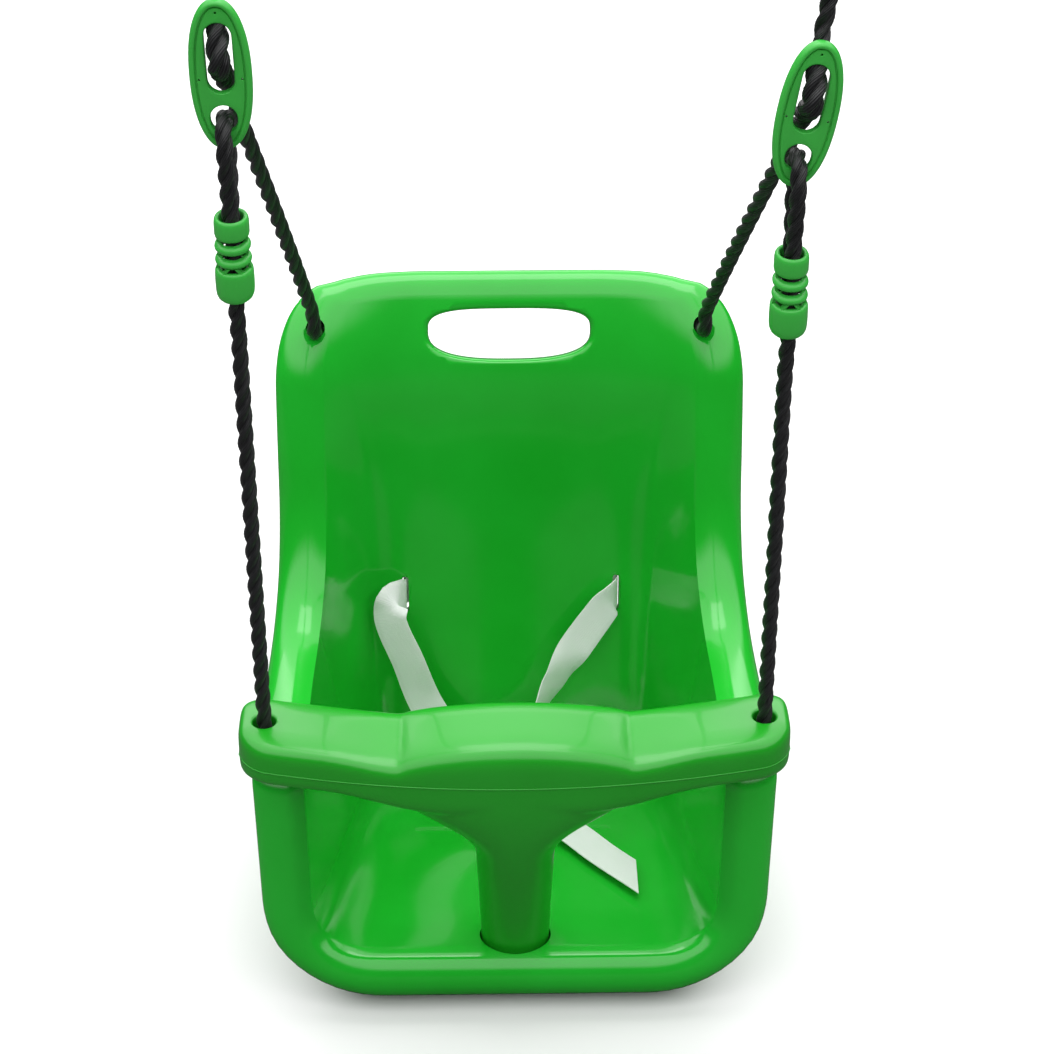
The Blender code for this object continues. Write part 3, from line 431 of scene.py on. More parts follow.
def moulded_plastic(name, deep, bright, roughness, ripple, grain, coat):
    """Coloured polyethylene: faint colour drift, mould ripple, fine grain and patches of fine scuffs."""
    made, tree, shader = new_material(name)
    spot = node(tree, "TexCoord").outputs["Object"]
    drift = noise(tree, spot, 9.0, 3.0)
    colour = mixed(tree, to_range(tree, drift, 0.35, 0.65, 0, 1), deep, bright)
    stretched = node(tree, "Mapping", Vector=spot, Scale=(260, 260, 18), Rotation=(0.4, 0.2, 0.7))
    scuffs = to_range(tree, noise(tree, stretched.outputs[0], 1.0, 2.0), 0.58, 0.72, 0, 1)
    patches = to_range(tree, noise(tree, spot, 22.0, 4.0), 0.45, 0.65, 0, 1)
    dull = calculated(tree, "MULTIPLY", scuffs, patches)
    rough = to_range(tree, dull, 0, 1, roughness, roughness + SCUFF_ROUGHNESS)
    first = node(tree, "Bump", Height=noise(tree, spot, 26.0, 1.0), Strength=1.0, Distance=ripple)
    fine = noise(tree, spot, 2600.0, 2.0)
    second = node(tree, "Bump", Height=fine, Strength=1.0, Distance=grain, Normal=first.outputs[0])
    give(tree, shader, Base_Color=colour, Roughness=rough, Normal=second.outputs[0], IOR=1.5,
         Coat_Weight=coat, Coat_Roughness=0.06)
    return made


def rope_fibre():
    """Black polypropylene yarns, twisted the other way from the strands so that they lie along the rope."""
    made, tree, shader = new_material("black rope fibre")
    uv = node(tree, "TexCoord").outputs["UV"]
    lean = node(tree, "Mapping", Vector=uv, Rotation=(0, 0, math.radians(-28)), Scale=(24, 4.4, 1))
    yarns = waves(tree, "Y", lean.outputs[0], 1.0, Distortion=1.6, Detail=2.0, Detail_Scale=1.4)
    hairs = noise(tree, lean.outputs[0], 7.0, 3.0)
    both = calculated(tree, "ADD", yarns, hairs)
    colour = mixed(tree, to_range(tree, both, 0.6, 1.5, 0, 1), *ROPE_BLACKS)
    bump = node(tree, "Bump", Height=both, Strength=0.7, Distance=0.00035)
    give(tree, shader, Base_Color=colour, Roughness=0.38, Normal=bump.outputs[0], Sheen_Weight=0.05,
         Sheen_Roughness=0.4)
    return made


def webbing():
    """White polyester webbing: a fine plain weave."""
    made, tree, shader = new_material("white webbing")
    uv = node(tree, "TexCoord").outputs["UV"]
    along = waves(tree, "X", uv, 330.0, Distortion=0.3)
    across = waves(tree, "Y", uv, 390.0, Distortion=0.3)
    weave = calculated(tree, "MULTIPLY", along, across)
    colour = mixed(tree, weave, *WEBBING_WHITES)
    bump = node(tree, "Bump", Height=weave, Strength=0.8, Distance=0.0003)
    give(tree, shader, Base_Color=colour, Roughness=0.8, Normal=bump.outputs[0], Sheen_Weight=0.3)
    return made


def plated_steel():
    """Zinc plated wire: cloudy grey patches and fine drawing marks."""
    made, tree, shader = new_material("zinc plated steel")
    spot = node(tree, "TexCoord").outputs["Object"]
    clouds = noise(tree, spot, 90.0, 5.0)
    colour = mixed(tree, to_range(tree, clouds, 0.35, 0.65, 0, 1), *STEEL_GREYS)
    marks = noise(tree, spot, 900.0, 3.0)
    bump = node(tree, "Bump", Height=marks, Strength=0.5, Distance=0.00008)
    rough = to_range(tree, clouds, 0.3, 0.7, 0.22, 0.42)
    give(tree, shader, Base_Color=colour, Metallic=1.0, Roughness=rough, Normal=bump.outputs[0])
    return made


# --- bucket -----------------------------------------------------------------------------------------

def side_view(line, along):
    """A point on one of the side view's lines, with the top of the back rolled backward."""
    past = max(along - ROLL_START, 0) / (1 - ROLL_START)
    return through_points(line, along) + Vector((TOP_ROLL * past * past, 0))


def round_corner(across, along):
    """Pulls the corners of the section-by-length grid in, so that the rim turns its corners on arcs."""
    width, length = TOP_CORNER if along > 0.5 else FRONT_CORNER
    edge = 1.0 if along > 0.5 else 0.0
    p = (across - (1 - width)) / width
    q = 1 - abs(edge - along) / length
    if p <= 0 or q <= 0:
        return across, along
    new_p = p * math.sqrt(1 - q * q / 2)
    new_q = q * math.sqrt(1 - p * p / 2)
    return 1 - width + new_p * width, edge + (1 - new_q) * length * (-1 if edge else 1)


def inner_surface(across, along):
    """The bucket's inside. Across runs from the middle to the rim's inner edge, along from front to top."""
    across, along = round_corner(across, along)
    seat = side_view(SEAT_LINE, along)
    rim = side_view(RIM_LINE, along)
    seat_x = blend_through(SEAT_HALF_WIDTH, along)
    rim_x = blend_through(RIM_HALF_WIDTH, along)
    wall = Vector((rim_x - seat_x, rim.x - seat.x, rim.y - seat.y))
    corner = Vector((seat_x, seat.x, seat.y))
    reach = FRONT_BEND_REACH + (BEND_REACH - FRONT_BEND_REACH) * smooth_step(0, 0.25, along)
    reach = min(reach, wall.length * 0.6)
    bend_start = corner - Vector((reach, 0, 0))
    bend_end = corner + wall.normalized() * reach
    if across <= SEAT_SHARE:
        return Vector((bend_start.x * across / SEAT_SHARE, seat.x, seat.y))
    if across <= WALL_SHARE:
        t = (across - SEAT_SHARE) / (WALL_SHARE - SEAT_SHARE)
        return bend_start * (1 - t) ** 2 + corner * 2 * t * (1 - t) + bend_end * t * t
    t = (across - WALL_SHARE) / (1 - WALL_SHARE)
    return bend_end.lerp(corner + wall, t)


def outer_surface(across, along):
    """The bucket's outside, one wall behind the inside. It stops short of the rim, which closes it."""
    across *= 1 - 0.095 - 0.05 * smooth_step(0.45, 0.7, along)
    along = 0.052 + along * (1 - 0.052 - 0.050)
    step = 0.002
    here = inner_surface(across, along)
    sideways = inner_surface(across + step, along) - inner_surface(max(across - step, 0), along)
    lengthways = inner_surface(across, along + step) - inner_surface(across, along - step)
    return here - sideways.cross(lengthways).normalized() * WALL


def rim_frame(before, after, along):
    """The rim's outward and facing directions where it runs from one point to the next."""
    run = (after - before).normalized()
    flat = Vector((0, -0.64, 0.77)) if along < 0.5 else Vector((0, -0.80, 0.60))
    facing = Vector((0, -run.z, run.y)) + abs(run.x) * flat
    facing.normalize()
    outward = run.cross(facing).normalized()
    return outward, outward.cross(run).normalized(), abs(run.x)


def rim_profile(width, depth, crest):
    """The rolled rim's section, as (outward, facing) steps from inner edge over crest to back."""
    top = 0.36 * width
    low = 0.60 * width
    drop = crest + 0.42 * depth
    steps = []
    for k in range(1, RIM_STEPS):
        share = k / RIM_STEPS
        steps.append((top * share, crest * math.sin(math.pi / 2 * share)))
    for k in range(2 * RIM_STEPS + 1):
        angle = math.pi / 4 * k / RIM_STEPS
        steps.append((top + (width - top) * math.sin(angle), crest - drop * (1 - math.cos(angle))))
    for k in range(1, RIM_STEPS + 1):
        angle = math.pi / 2 * k / RIM_STEPS
        steps.append((width - (width - low) * (1 - math.cos(angle)),
                      crest - drop - (depth + crest - drop) * math.sin(angle)))
    steps.append((top, -depth))
    return steps


def edge_loop(columns, rows):
    """The grid's free edge from the middle of the front, round one side, to the middle of the top."""
    loop = [(i, 0) for i in range(len(columns))]
    loop += [(len(columns) - 1, j) for j in range(1, len(rows))]
    loop += [(i, len(rows) - 1) for i in range(len(columns) - 2, -1, -1)]
    return loop


def bucket_columns():
    return (evenly(0, SEAT_SHARE, 12) + evenly(SEAT_SHARE, WALL_SHARE, 12)[1:]
            + evenly(WALL_SHARE, 0.92, 8)[1:] + evenly(0.92, 0.986, 5)[1:] + [1])


def bucket_rows():
    return ([0] + evenly(0.004, FRONT_CORNER[1], 8) + evenly(FRONT_CORNER[1], 0.30, 20)[1:]
            + evenly(0.30, 0.62, 36)[1:] + evenly(0.62, 1 - TOP_CORNER[1], 24)[1:]
            + evenly(1 - TOP_CORNER[1], 0.995, 14)[1:] + [1])


def bucket_half(columns, rows):
    """Half of the bucket, open at the middle plane: inside, rolled rim and outside."""
    bm = bmesh.new()
    inner = [[bm.verts.new(inner_surface(a, b)) for b in rows] for a in columns]
    outer = [[bm.verts.new(outer_surface(a, b)) for b in rows] for a in columns]
    for i in range(len(columns) - 1):
        for j in range(len(rows) - 1):
            bm.faces.new((inner[i][j], inner[i + 1][j], inner[i + 1][j + 1], inner[i][j + 1]))
            bm.faces.new((outer[i][j], outer[i][j + 1], outer[i + 1][j + 1], outer[i + 1][j]))
    loop = edge_loop(columns, rows)
    edge = [inner[i][j] for i, j in loop]
    rings = [edge]
    sections = []
    for k, (i, j) in enumerate(loop):
        before = edge[k - 1].co if k else Vector((-edge[1].co.x, edge[1].co.y, edge[1].co.z))
        after = edge[k + 1].co if k + 1 < len(edge) else Vector((-edge[k - 1].co.x, *edge[k - 1].co[1:]))
        outward, facing, level = rim_frame(before, after, rows[j])
        front = 1 - smooth_step(0.02, 0.22, rows[j])
        top = smooth_step(0.75, 1.0, rows[j]) * smooth_step(0.15, 0.95, level)
        width = RIM_WIDTH + (TOP_RIM_WIDTH - RIM_WIDTH) * top
        width += (FRONT_RIM_WIDTH - RIM_WIDTH) * front * smooth_step(0.3, 1.0, level)
        across_run = 1 - ((after - before).normalized().y) ** 2
        depth = RIM_DEPTH + (POST_DEPTH - RIM_DEPTH) * front
        depth += (LIP_DEPTH - POST_DEPTH) * front * level ** 2
        depth += (TOP_RIM_DEPTH - RIM_DEPTH) * smooth_step(0.68, 0.86, rows[j])
        depth *= 1 - CORNER_THINNING * front * (1 - level) * across_run * (1 - across_run)
        crest = RIM_CREST + (FRONT_CREST - RIM_CREST) * front * across_run
        profile = rim_profile(width, depth, crest * (1 - 0.85 * top))
        sections.append([edge[k].co + outward * o + facing * f for o, f in profile])
    for step in range(len(sections[0])):
        rings.append([bm.verts.new(section[step]) for section in sections])
    rings.append([outer[i][j] for i, j in loop])
    for near, far in zip(rings, rings[1:]):
        for k in range(len(loop) - 1):
            bm.faces.new((near[k], far[k], far[k + 1], near[k + 1]))
    for vert in bm.verts:
        if abs(vert.co.x) < 1e-6:
            vert.co.x = 0
    return bm


def share_at_height(up):
    """How far along the side view the middle of the back reaches a height, found by halving."""
    low, high = 0.4, 1.0
    for _ in range(30):
        middle = (low + high) / 2
        if side_view(SEAT_LINE, middle).y < up:
            low = middle
        else:
            high = middle
    return low


def back_direction(up):
    """How the back leans at a height: the direction along it, and the way it faces."""
    share = share_at_height(up)
    run = side_view(SEAT_LINE, share + 0.01) - side_view(SEAT_LINE, share - 0.01)
    run = Vector((0, run.x, run.y)).normalized()
    return run, Vector((0, -run.z, run.y))


def handle_outline(points):
    """The hand slot: nearly straight above, bowed like a smile below, round at both ends."""
    outline = []
    for k in range(points):
        angle = 2 * math.pi * k / points
        height, power = (HANDLE_ABOVE, 3.4) if math.sin(angle) > 0 else (HANDLE_BELOW, 2.6)
        outline.append(oval_point(angle, HANDLE_HALF_WIDTH, height, power))
    return outline


def stadium_outline(half_length, radius, points=12):
    """A slot's outline: two half circles joined by straight sides."""
    outline = []
    for end, start in ((1, 0), (-1, 180)):
        for k in range(points + 1):
            angle = math.radians(start + 180 * k / points)
            y = end * (half_length - radius) + radius * math.sin(angle)
            outline.append((radius * math.cos(angle), y))
    return outline


def surface_hit(obj, start, direction):
    """Where a line from a point first meets an object's mesh."""
    tree = BVHTree.FromPolygons([v.co for v in obj.data.vertices], [p.vertices for p in obj.data.polygons])
    return tree.ray_cast(start, direction.normalized())[0]


def hole_through(obj, outline, start, axis, rounding):
    """Cuts a hole with rounded edges through whatever lies on a line from a start point, against an axis."""
    near = surface_hit(obj, start, -axis)
    far = near
    point = near - axis * 0.0005
    while True:
        hit = surface_hit(obj, point, -axis)
        if hit is None or (hit - near).length > 0.045:
            break
        far = hit
        point = hit - axis * 0.0005
    place = along_axis(near, axis)
    cut(obj, flared_cutter("hole", outline, place, 0.0, -(far - near).length, rounding))


def well(name, mouth, steps, radius, sides):
    """A cutter for an upright round well: steps of (extra radius, height) from mouth to floor."""
    sections = []
    for extra, height in steps:
        sections.append([mouth + Vector((x, y, height)) for x, y in circle(radius + extra, sides)])
    return solid_of(name, sections)


def round_block(name, size, centre, bevel):
    bm = bmesh.new()
    bmesh.ops.create_cube(bm, size=1)
    bmesh.ops.scale(bm, vec=size, verts=bm.verts)
    bmesh.ops.bevel(bm, geom=bm.edges[:], offset=bevel, segments=4, affect="EDGES", profile=0.5)
    bmesh.ops.translate(bm, vec=centre, verts=bm.verts)
    return new_object(name, bm)


def post(name, radius, foot, height):
    x, y, z = foot
    sections = [[Vector((x + a, y + b, z + up)) for a, b in circle(radius, 64)] for up in (0, height)]
    return solid_of(name, sections)


def build_bucket():
    bucket = new_object("bucket_shell", bucket_half(bucket_columns(), bucket_rows()))
    mirror = bucket.modifiers.new("other half", "MIRROR")
    mirror.use_clip = True
    mirror.merge_threshold = 0.0001
    settle(bucket)
    combine(bucket, post("socket boss", 0.027, (0, POST_FOOT_Y + 0.003, 0.008), 0.024), "UNION")
    combine(bucket, round_block("foot pad", FOOT_PAD, (0, 0, FOOT_PAD[2] / 2), 0.003), "UNION")
    cut(bucket, round_block("ground", (0.6, 0.6, 0.1), (0, 0, -0.05), 0.001))
    socket_steps = [(0.0024, 0.080), (0.0014, 0.0425), (0.0004, 0.0405), (0, 0.0380), (0, SOCKET_FLOOR)]
    cut(bucket, well("socket", Vector((0, POST_FOOT_Y, 0)), socket_steps, SOCKET_R, 64))

    centre = side_view(SEAT_LINE, share_at_height(HANDLE_UP))
    _, facing = back_direction(HANDLE_UP)
    place = along_axis(Vector((0, centre.x, centre.y)), facing)
    low = -WALL - 0.012
    cut(bucket, flared_cutter("handle", handle_outline(72), place, 0.0, low, HANDLE_ROUNDING, 0.02))

    rope_hole_steps = [(0.018, 0.030), (0.0016, 0), (0.0008, -0.0003), (0.0003, -0.0009), (0, -0.0018),
                       (0, -KNOT_POCKET_DEPTH)]
    for sign in SIDES.values():
        top = surface_hit(bucket, Vector((sign * ROPE_X, ROPE_Y, ARM_TOP + 0.05)), DOWN)
        cut(bucket, well("rope hole", top, rope_hole_steps, ROPE_HOLE_R, 32))
        pocket = (sign * (ROPE_X - KNOT_SHIFT[0]), ROPE_Y + KNOT_SHIFT[1], ARM_TOP - KNOT_POCKET_FLOOR)
        cut(bucket, post("knot pocket", KNOT_POCKET_R, pocket, KNOT_POCKET_REACH))
        rear_hole = Vector((sign * REAR_HOLE[0], *REAR_HOLE[1:]))
        openings = ((circle(REAR_HOLE_R, 32), rear_hole, REAR_HOLE_ALONG, REAR_HOLE_ROUNDING),
                    (stadium_outline(BELT_SLOT_HALF, BELT_SLOT_R, 6), belt_slot(sign), BELT_SLOT_UP,
                     BELT_SLOT_ROUNDING))
        for outline, spot, up, rounding in openings:
            _, facing = back_direction(up)
            hole_through(bucket, outline, spot + facing * 0.04, facing, rounding)
    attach(bucket, "seat")
    finish_piece(bucket, moulded_plastic("bucket plastic", *BUCKET_GREENS, 0.15, 0.00016, 0.000008, 0.3), 38,
                 "bucket_plastic", "bucket")


def belt_slot(sign):
    """The middle of a belt slot, on the inside of the back."""
    centre = side_view(SEAT_LINE, share_at_height(BELT_SLOT_UP))
    return Vector((sign * BELT_SLOT_X, centre.x, centre.y))


# --- T-bar ------------------------------------------------------------------------------------------

def bar_levels(x):
    """The crossbar's front top edge, back top edge and underside at a distance from the middle."""
    out = abs(x)
    if out < BAR_PAD_HALF:
        swell = (1 - (out / BAR_PAD_HALF) ** 2) ** 0.75
        front = BAR_TOP - BAR_CREASE_DROP + 0.015 * swell
        back = BAR_TOP + BAR_PAD_RISE * swell
    else:
        front = BAR_TOP - BAR_CREASE_DROP * (1 - smooth_step(BAR_PAD_HALF, 0.125, out))
        back = BAR_TOP
    under = ARM_TOP + REST_GAP - 0.014 * (1 - smooth_step(0.040, 0.128, out))
    past = max(out - (BAR_END - BAR_EDGE), 0)
    rounding = BAR_EDGE - math.sqrt(max(BAR_EDGE ** 2 - past ** 2, 0))
    return front - rounding, back - rounding, under + 0.8 * rounding


def bar_plan(x):
    """The crossbar's middle and half depth, seen from above."""
    middle = -0.1165 - 0.025 * (1 - (x / BAR_END) ** 2)
    past = max(abs(x) - (BAR_END - BAR_CORNER), 0)
    return middle, BAR_HALF_DEPTH - BAR_CORNER + math.sqrt(max(BAR_CORNER ** 2 - past ** 2, 0))


def bar_section(x, points):
    """The crossbar's rounded section at a distance from the middle."""
    front, back, under = bar_levels(x)
    middle, half_y = bar_plan(x)
    top = (front + back) / 2
    centre_z = (top + under) / 2
    section = []
    for k in range(points):
        angle = 2 * math.pi * (k + 0.5) / points
        across, rise = oval_point(angle, 1, 1, 4.6 if math.sin(angle) > 0 else 5.0)
        tilt = (back - front) / 2 * across * max(rise, 0)
        section.append(Vector((x, middle + half_y * across, centre_z + (top - under) / 2 * rise + tilt)))
    return section


def post_section(z, points):
    """The T-bar's post at a height: round at the foot, flaring like a trumpet into the crossbar."""
    rise = (z - SOCKET_FLOOR) / (ARM_TOP - SOCKET_FLOOR)
    flare = smooth_step(0.60, 1.0, rise) ** 1.8
    half_x = POST_FOOT_R + 0.0060 * rise + 0.055 * flare
    lean = smooth_step(0.12, 1.0, rise)
    centre_y = POST_FOOT_Y - 0.028 * lean
    half_y = POST_FOOT_R - 0.001 + 0.0068 * lean
    section = []
    for k in range(points):
        angle = 2 * math.pi * k / points
        section.append(Vector((half_x * math.cos(angle), centre_y + half_y * math.sin(angle), z)))
    return section


def parting_line():
    """The fine raised line where the mould's halves met, right round the crossbar."""
    centres = []
    spots = evenly(-BAR_END + 0.0005, BAR_END - 0.0005, 120)
    for run, face in ((spots, -1), (list(reversed(spots)), 1)):
        for x in run:
            front, back, under = bar_levels(x)
            middle, half_y = bar_plan(x)
            top = (front + back) / 2
            share = (PARTING_UP - (top + under) / 2) / ((top - under) / 2)
            centres.append(Vector((x, middle + face * half_y * (1 - abs(share) ** 5) ** 0.2, PARTING_UP)))
    bm = bmesh.new()
    sections = []
    for k, centre in enumerate(centres):
        run = (centres[(k + 1) % len(centres)] - centres[k - 1]).normalized()
        out = run.cross(UP)
        sections.append([centre + out * x + Vector((0, 0, y)) for x, y in circle(PARTING_R, 6)])
    loft_round(bm, sections)
    bmesh.ops.recalc_face_normals(bm, faces=bm.faces)
    return new_object("t_bar_parting_line", bm)


def build_t_bar():
    corner_angles = (8, 18, 28, 38, 48, 58, 66, 74, 82, 90)
    ends = [BAR_END - BAR_CORNER * (1 - math.sin(math.radians(a))) for a in corner_angles]
    half = evenly(0, BAR_END - BAR_CORNER, 56) + ends
    stations = [-x for x in reversed(half[1:])] + half
    bar = solid_of("t_bar_moulding", [bar_section(x, 120) for x in stations])
    heights = evenly(SOCKET_FLOOR + 0.001, 0.196, 60)
    combine(bar, solid_of("post", [post_section(z, 72) for z in heights]), "UNION")
    remesh = bar.modifiers.new("one skin", "REMESH")
    remesh.mode = "VOXEL"
    remesh.voxel_size = 0.0015
    soften = bar.modifiers.new("soften", "SMOOTH")
    soften.factor = 0.5
    soften.iterations = 14
    settle(bar)
    for sign in SIDES.values():
        top = Vector((sign * ROPE_X, ROPE_Y, BAR_TOP + 0.03))
        hole_through(bar, circle(ROPE_HOLE_R, 32), top, UP, ARM_HOLE_ROUNDING)
    plastic = moulded_plastic("t bar plastic", *BAR_GREENS, 0.30, 0.00006, 0.00001, 0.25)
    line = parting_line()
    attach(bar, "t_bar")
    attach(line, "t_bar")
    finish_piece(bar, plastic, 50, "t_bar_plastic", "t_bar")
    finish_piece(line, plastic, 80, "t_bar_plastic")


# --- ropes ------------------------------------------------------------------------------------------

def slope(corners, distances, i):
    low = max(i - 1, 0)
    high = min(i + 1, len(corners) - 1)
    return (corners[high] - corners[low]) / (distances[high] - distances[low])


def chord_distances(corners):
    distances = [0.0]
    for a, b in zip(corners, corners[1:]):
        distances.append(distances[-1] + (b - a).length)
    return distances


def chord_at(distances, share):
    """Which chord a share of the whole length falls on, and how far along that chord it is."""
    place = share * distances[-1]
    i = 0
    while i < len(distances) - 2 and place > distances[i + 1]:
        i += 1
    return i, (place - distances[i]) / (distances[i + 1] - distances[i])


def through_chords(corners, share):
    """A point on the curve through corners, spaced by the distances between them."""
    distances = chord_distances(corners)
    i, t = chord_at(distances, share)
    chord = distances[i + 1] - distances[i]
    leave = slope(corners, distances, i) * chord
    arrive = slope(corners, distances, i + 1) * chord
    return (corners[i] * (2 * t ** 3 - 3 * t * t + 1) + leave * (t ** 3 - 2 * t * t + t)
            + corners[i + 1] * (3 * t * t - 2 * t ** 3) + arrive * (t ** 3 - t * t))


def smooth_path(corners, spacing):
    """Evenly placed points on a smooth curve through corner points."""
    fine = [through_chords(corners, k / 1200) for k in range(1201)]
    steps = [(b - a).length for a, b in zip(fine, fine[1:])]
    count = max(int(sum(steps) / spacing), 4)
    gap = sum(steps) / count
    points = [fine[0]]
    run = 0.0
    for k, step in enumerate(steps):
        while step > 0 and run + step >= gap * len(points) and len(points) < count:
            points.append(fine[k].lerp(fine[k + 1], (gap * len(points) - run) / step))
        run += step
    points.append(fine[-1])
    return points


def front_rope_corners(side, sign):
    """From the knot up through arm and T-bar, through the clamp, over the plate's web and back."""
    hole_up = PLATE_HOLE_UP[side]
    top = hole_up - CLAMP_TOP_BELOW_HOLE
    x = sign * ROPE_X
    turn = PLATE_THICKNESS / 2 + ROPE_R + 0.0012
    web_top = hole_up - PLATE_HOLE_R
    corners = [(x, ROPE_Y, ARM_TOP), (x, ROPE_Y, BAR_TOP + 0.06),
               (x, ROPE_Y, top - CLAMP_HEIGHT - 0.100), (x, ROPE_Y, top - CLAMP_HEIGHT - 0.030),
               (x, ROPE_Y - LEG_OFFSET, top - CLAMP_HEIGHT + 0.006),
               (x, ROPE_Y - LEG_OFFSET, top), (x, ROPE_Y - turn - 0.0012, web_top - 0.010)]
    for k in range(1, 6):
        angle = math.pi * (1 - k / 6)
        corners.append((x, ROPE_Y + turn * math.cos(angle), web_top - 0.003 + turn * math.sin(angle)))
    corners += [(x, ROPE_Y + turn + 0.0012, web_top - 0.010), (x, ROPE_Y + LEG_OFFSET, top),
                (x, ROPE_Y + LEG_OFFSET, top - CLAMP_HEIGHT + 0.022)]
    return [Vector(c) for c in corners]


def plate_place(side, sign):
    """The plate's own frame: its origin is the lower hole, its Z runs up the plate."""
    hole = Vector((sign * ROPE_X, ROPE_Y, PLATE_HOLE_UP[side]))
    return Matrix.Translation(hole) @ Matrix.Rotation(sign * PLATE_LEAN[side], 4, "Y")


def rock_point(side, sign):
    """Where a hanging rope bends above its plate."""
    return plate_place(side, sign) @ Vector((0, 0.0115, 0.092))


def rear_rope_corners(side, sign):
    """From the bend above the plate, through its slot and out again, to the knot behind the back."""
    place = plate_place(side, sign)
    behind = PLATE_THICKNESS / 2 + ROPE_R + 0.0022
    local = [(0, 0.0115, 0.0830), (0, behind, 0.072), (0, -0.0055, SLOT_CENTRE + 0.0045),
             (0, -0.0050, SLOT_CENTRE - 0.0040), (0, 0.0085, SLOT_CENTRE - SLOT_HALF + 0.0080)]
    hole = Vector((sign * REAR_HOLE[0], *REAR_HOLE[1:]))
    run, facing = back_direction(REAR_HOLE_ALONG)
    return [place @ Vector(p) for p in local] + [hole + facing * 0.020 + run * 0.019, hole + facing * 0.004]


def hanging_rope_corners(side, sign):
    """From the upper clamp round the ring's wire, back through the clamp, down to the bend."""
    bend = rock_point(side, sign)
    ring = Vector((sign * HANGER_X, bend.y, HANGER_UP))
    down = (bend - ring).normalized()
    up = -down
    turn = RING_WIRE_R + ROPE_R + 0.0008
    front = Vector((0, -1, 0))
    clamp_top = ring + down * UPPER_CLAMP_TOP
    leg = front * LEG_OFFSET
    corners = [clamp_top + down * (CLAMP_HEIGHT - 0.022) + leg, clamp_top + leg]
    for k in range(0, 7):
        angle = math.pi * k / 6
        corners.append(ring + front * turn * math.cos(angle) + up * turn * math.sin(angle))
    corners += [clamp_top - leg, clamp_top + down * (CLAMP_HEIGHT - 0.006) - leg,
                clamp_top + down * (CLAMP_HEIGHT + 0.055), bend + up * 0.060, bend + up * 0.009]
    return corners


def stopper_knot(entry, down, start):
    """Points of a tight stopper knot: down the middle, round at the bottom, then wound back up outside."""
    across = down.cross(start).normalized()
    wound_r, low, turns = 0.0082, 0.0190, 1.85
    points = [entry + down * (low * k / 4) for k in range(1, 4)]
    points.append(entry + down * (low + 0.0020) + start * 0.0022)
    points.append(entry + down * (low + 0.0026) + start * 0.0062)
    count = 24
    for k in range(count + 1):
        angle = 2 * math.pi * turns * k / count
        along = low + 0.0006 - 0.0152 * k / count
        points.append(entry + down * along + (start * math.cos(angle) + across * math.sin(angle)) * wound_r)
    return points


def rope_section():
    """A laid rope's three-lobed section, as (radius, angle, place round its strand)."""
    valley = math.radians(60)
    to_chord = STRAND_OFFSET * math.sin(valley)
    shoulder = STRAND_OFFSET * math.cos(valley) + math.sqrt(STRAND_R ** 2 - to_chord ** 2)
    reach = math.atan2(shoulder * math.sin(valley), shoulder * math.cos(valley) - STRAND_OFFSET)
    section = []
    for strand in range(3):
        for k in range(LOBE_STEPS):
            turn = reach * (2 * k / LOBE_STEPS - 1)
            x = STRAND_OFFSET + STRAND_R * math.cos(turn)
            y = STRAND_R * math.sin(turn)
            angle = math.atan2(y, x) + 2 * math.pi * strand / 3
            section.append((math.hypot(x, y), angle, turn / (2 * math.pi)))
    return section


def laid_rope(name, points, scales, lays):
    """A three-strand rope as one closed skin, with its thickness and lay length at each point."""
    section = rope_section()
    last = len(points) - 1
    tangents = [(points[min(k + 1, last)] - points[max(k - 1, 0)]).normalized() for k in range(last + 1)]
    normal = tangents[0].orthogonal().normalized()
    rings = []
    lengths = [0.0]
    lay = 0.0
    for k, (point, tangent) in enumerate(zip(points, tangents)):
        if k:
            normal = (tangents[k - 1].rotation_difference(tangent) @ normal).normalized()
            step = (point - points[k - 1]).length
            lengths.append(lengths[-1] + step)
            lay += 2 * math.pi * step / lays[k]
        side = tangent.cross(normal)
        ring = []
        for radius, angle, _ in section:
            out = normal * math.cos(angle + lay) + side * math.sin(angle + lay)
            ring.append(point + out * radius * scales[k])
        rings.append(ring)
    spans = [(start, start + 2 / LOBE_STEPS * LOBE_SHARE) for _, _, start in section]
    return laid_skin(name, rings, lengths, spans)


def rounded_end(scales, last):
    """Thins the last rings of a rope to a melted, rounded end."""
    for k, share in enumerate((0.30, 0.66, 0.88)):
        scales[-1 - k if last else k] *= share


def front_rope(side, sign):
    """A front rope from the knot under its arm to its short end inside the clamp."""
    main = smooth_path(front_rope_corners(side, sign), ROPE_STEP)
    entry = Vector((sign * (ROPE_X - KNOT_SHIFT[0]), ROPE_Y + KNOT_SHIFT[1], FRONT_KNOT_UP))
    knot = stopper_knot(entry, DOWN, Vector((-sign, 0, 0)))
    lead = smooth_path([main[0], entry] + knot, ROPE_STEP * 0.8)
    points = list(reversed(lead[1:])) + main
    scales = knot_scales([(p - main[0]).dot(DOWN) > 0.020 for p in points])
    rounded_end(scales, False)
    rounded_end(scales, True)
    return laid_rope(f"front_rope_{side}_laid", points, scales, [LAY_LENGTH] * len(points))


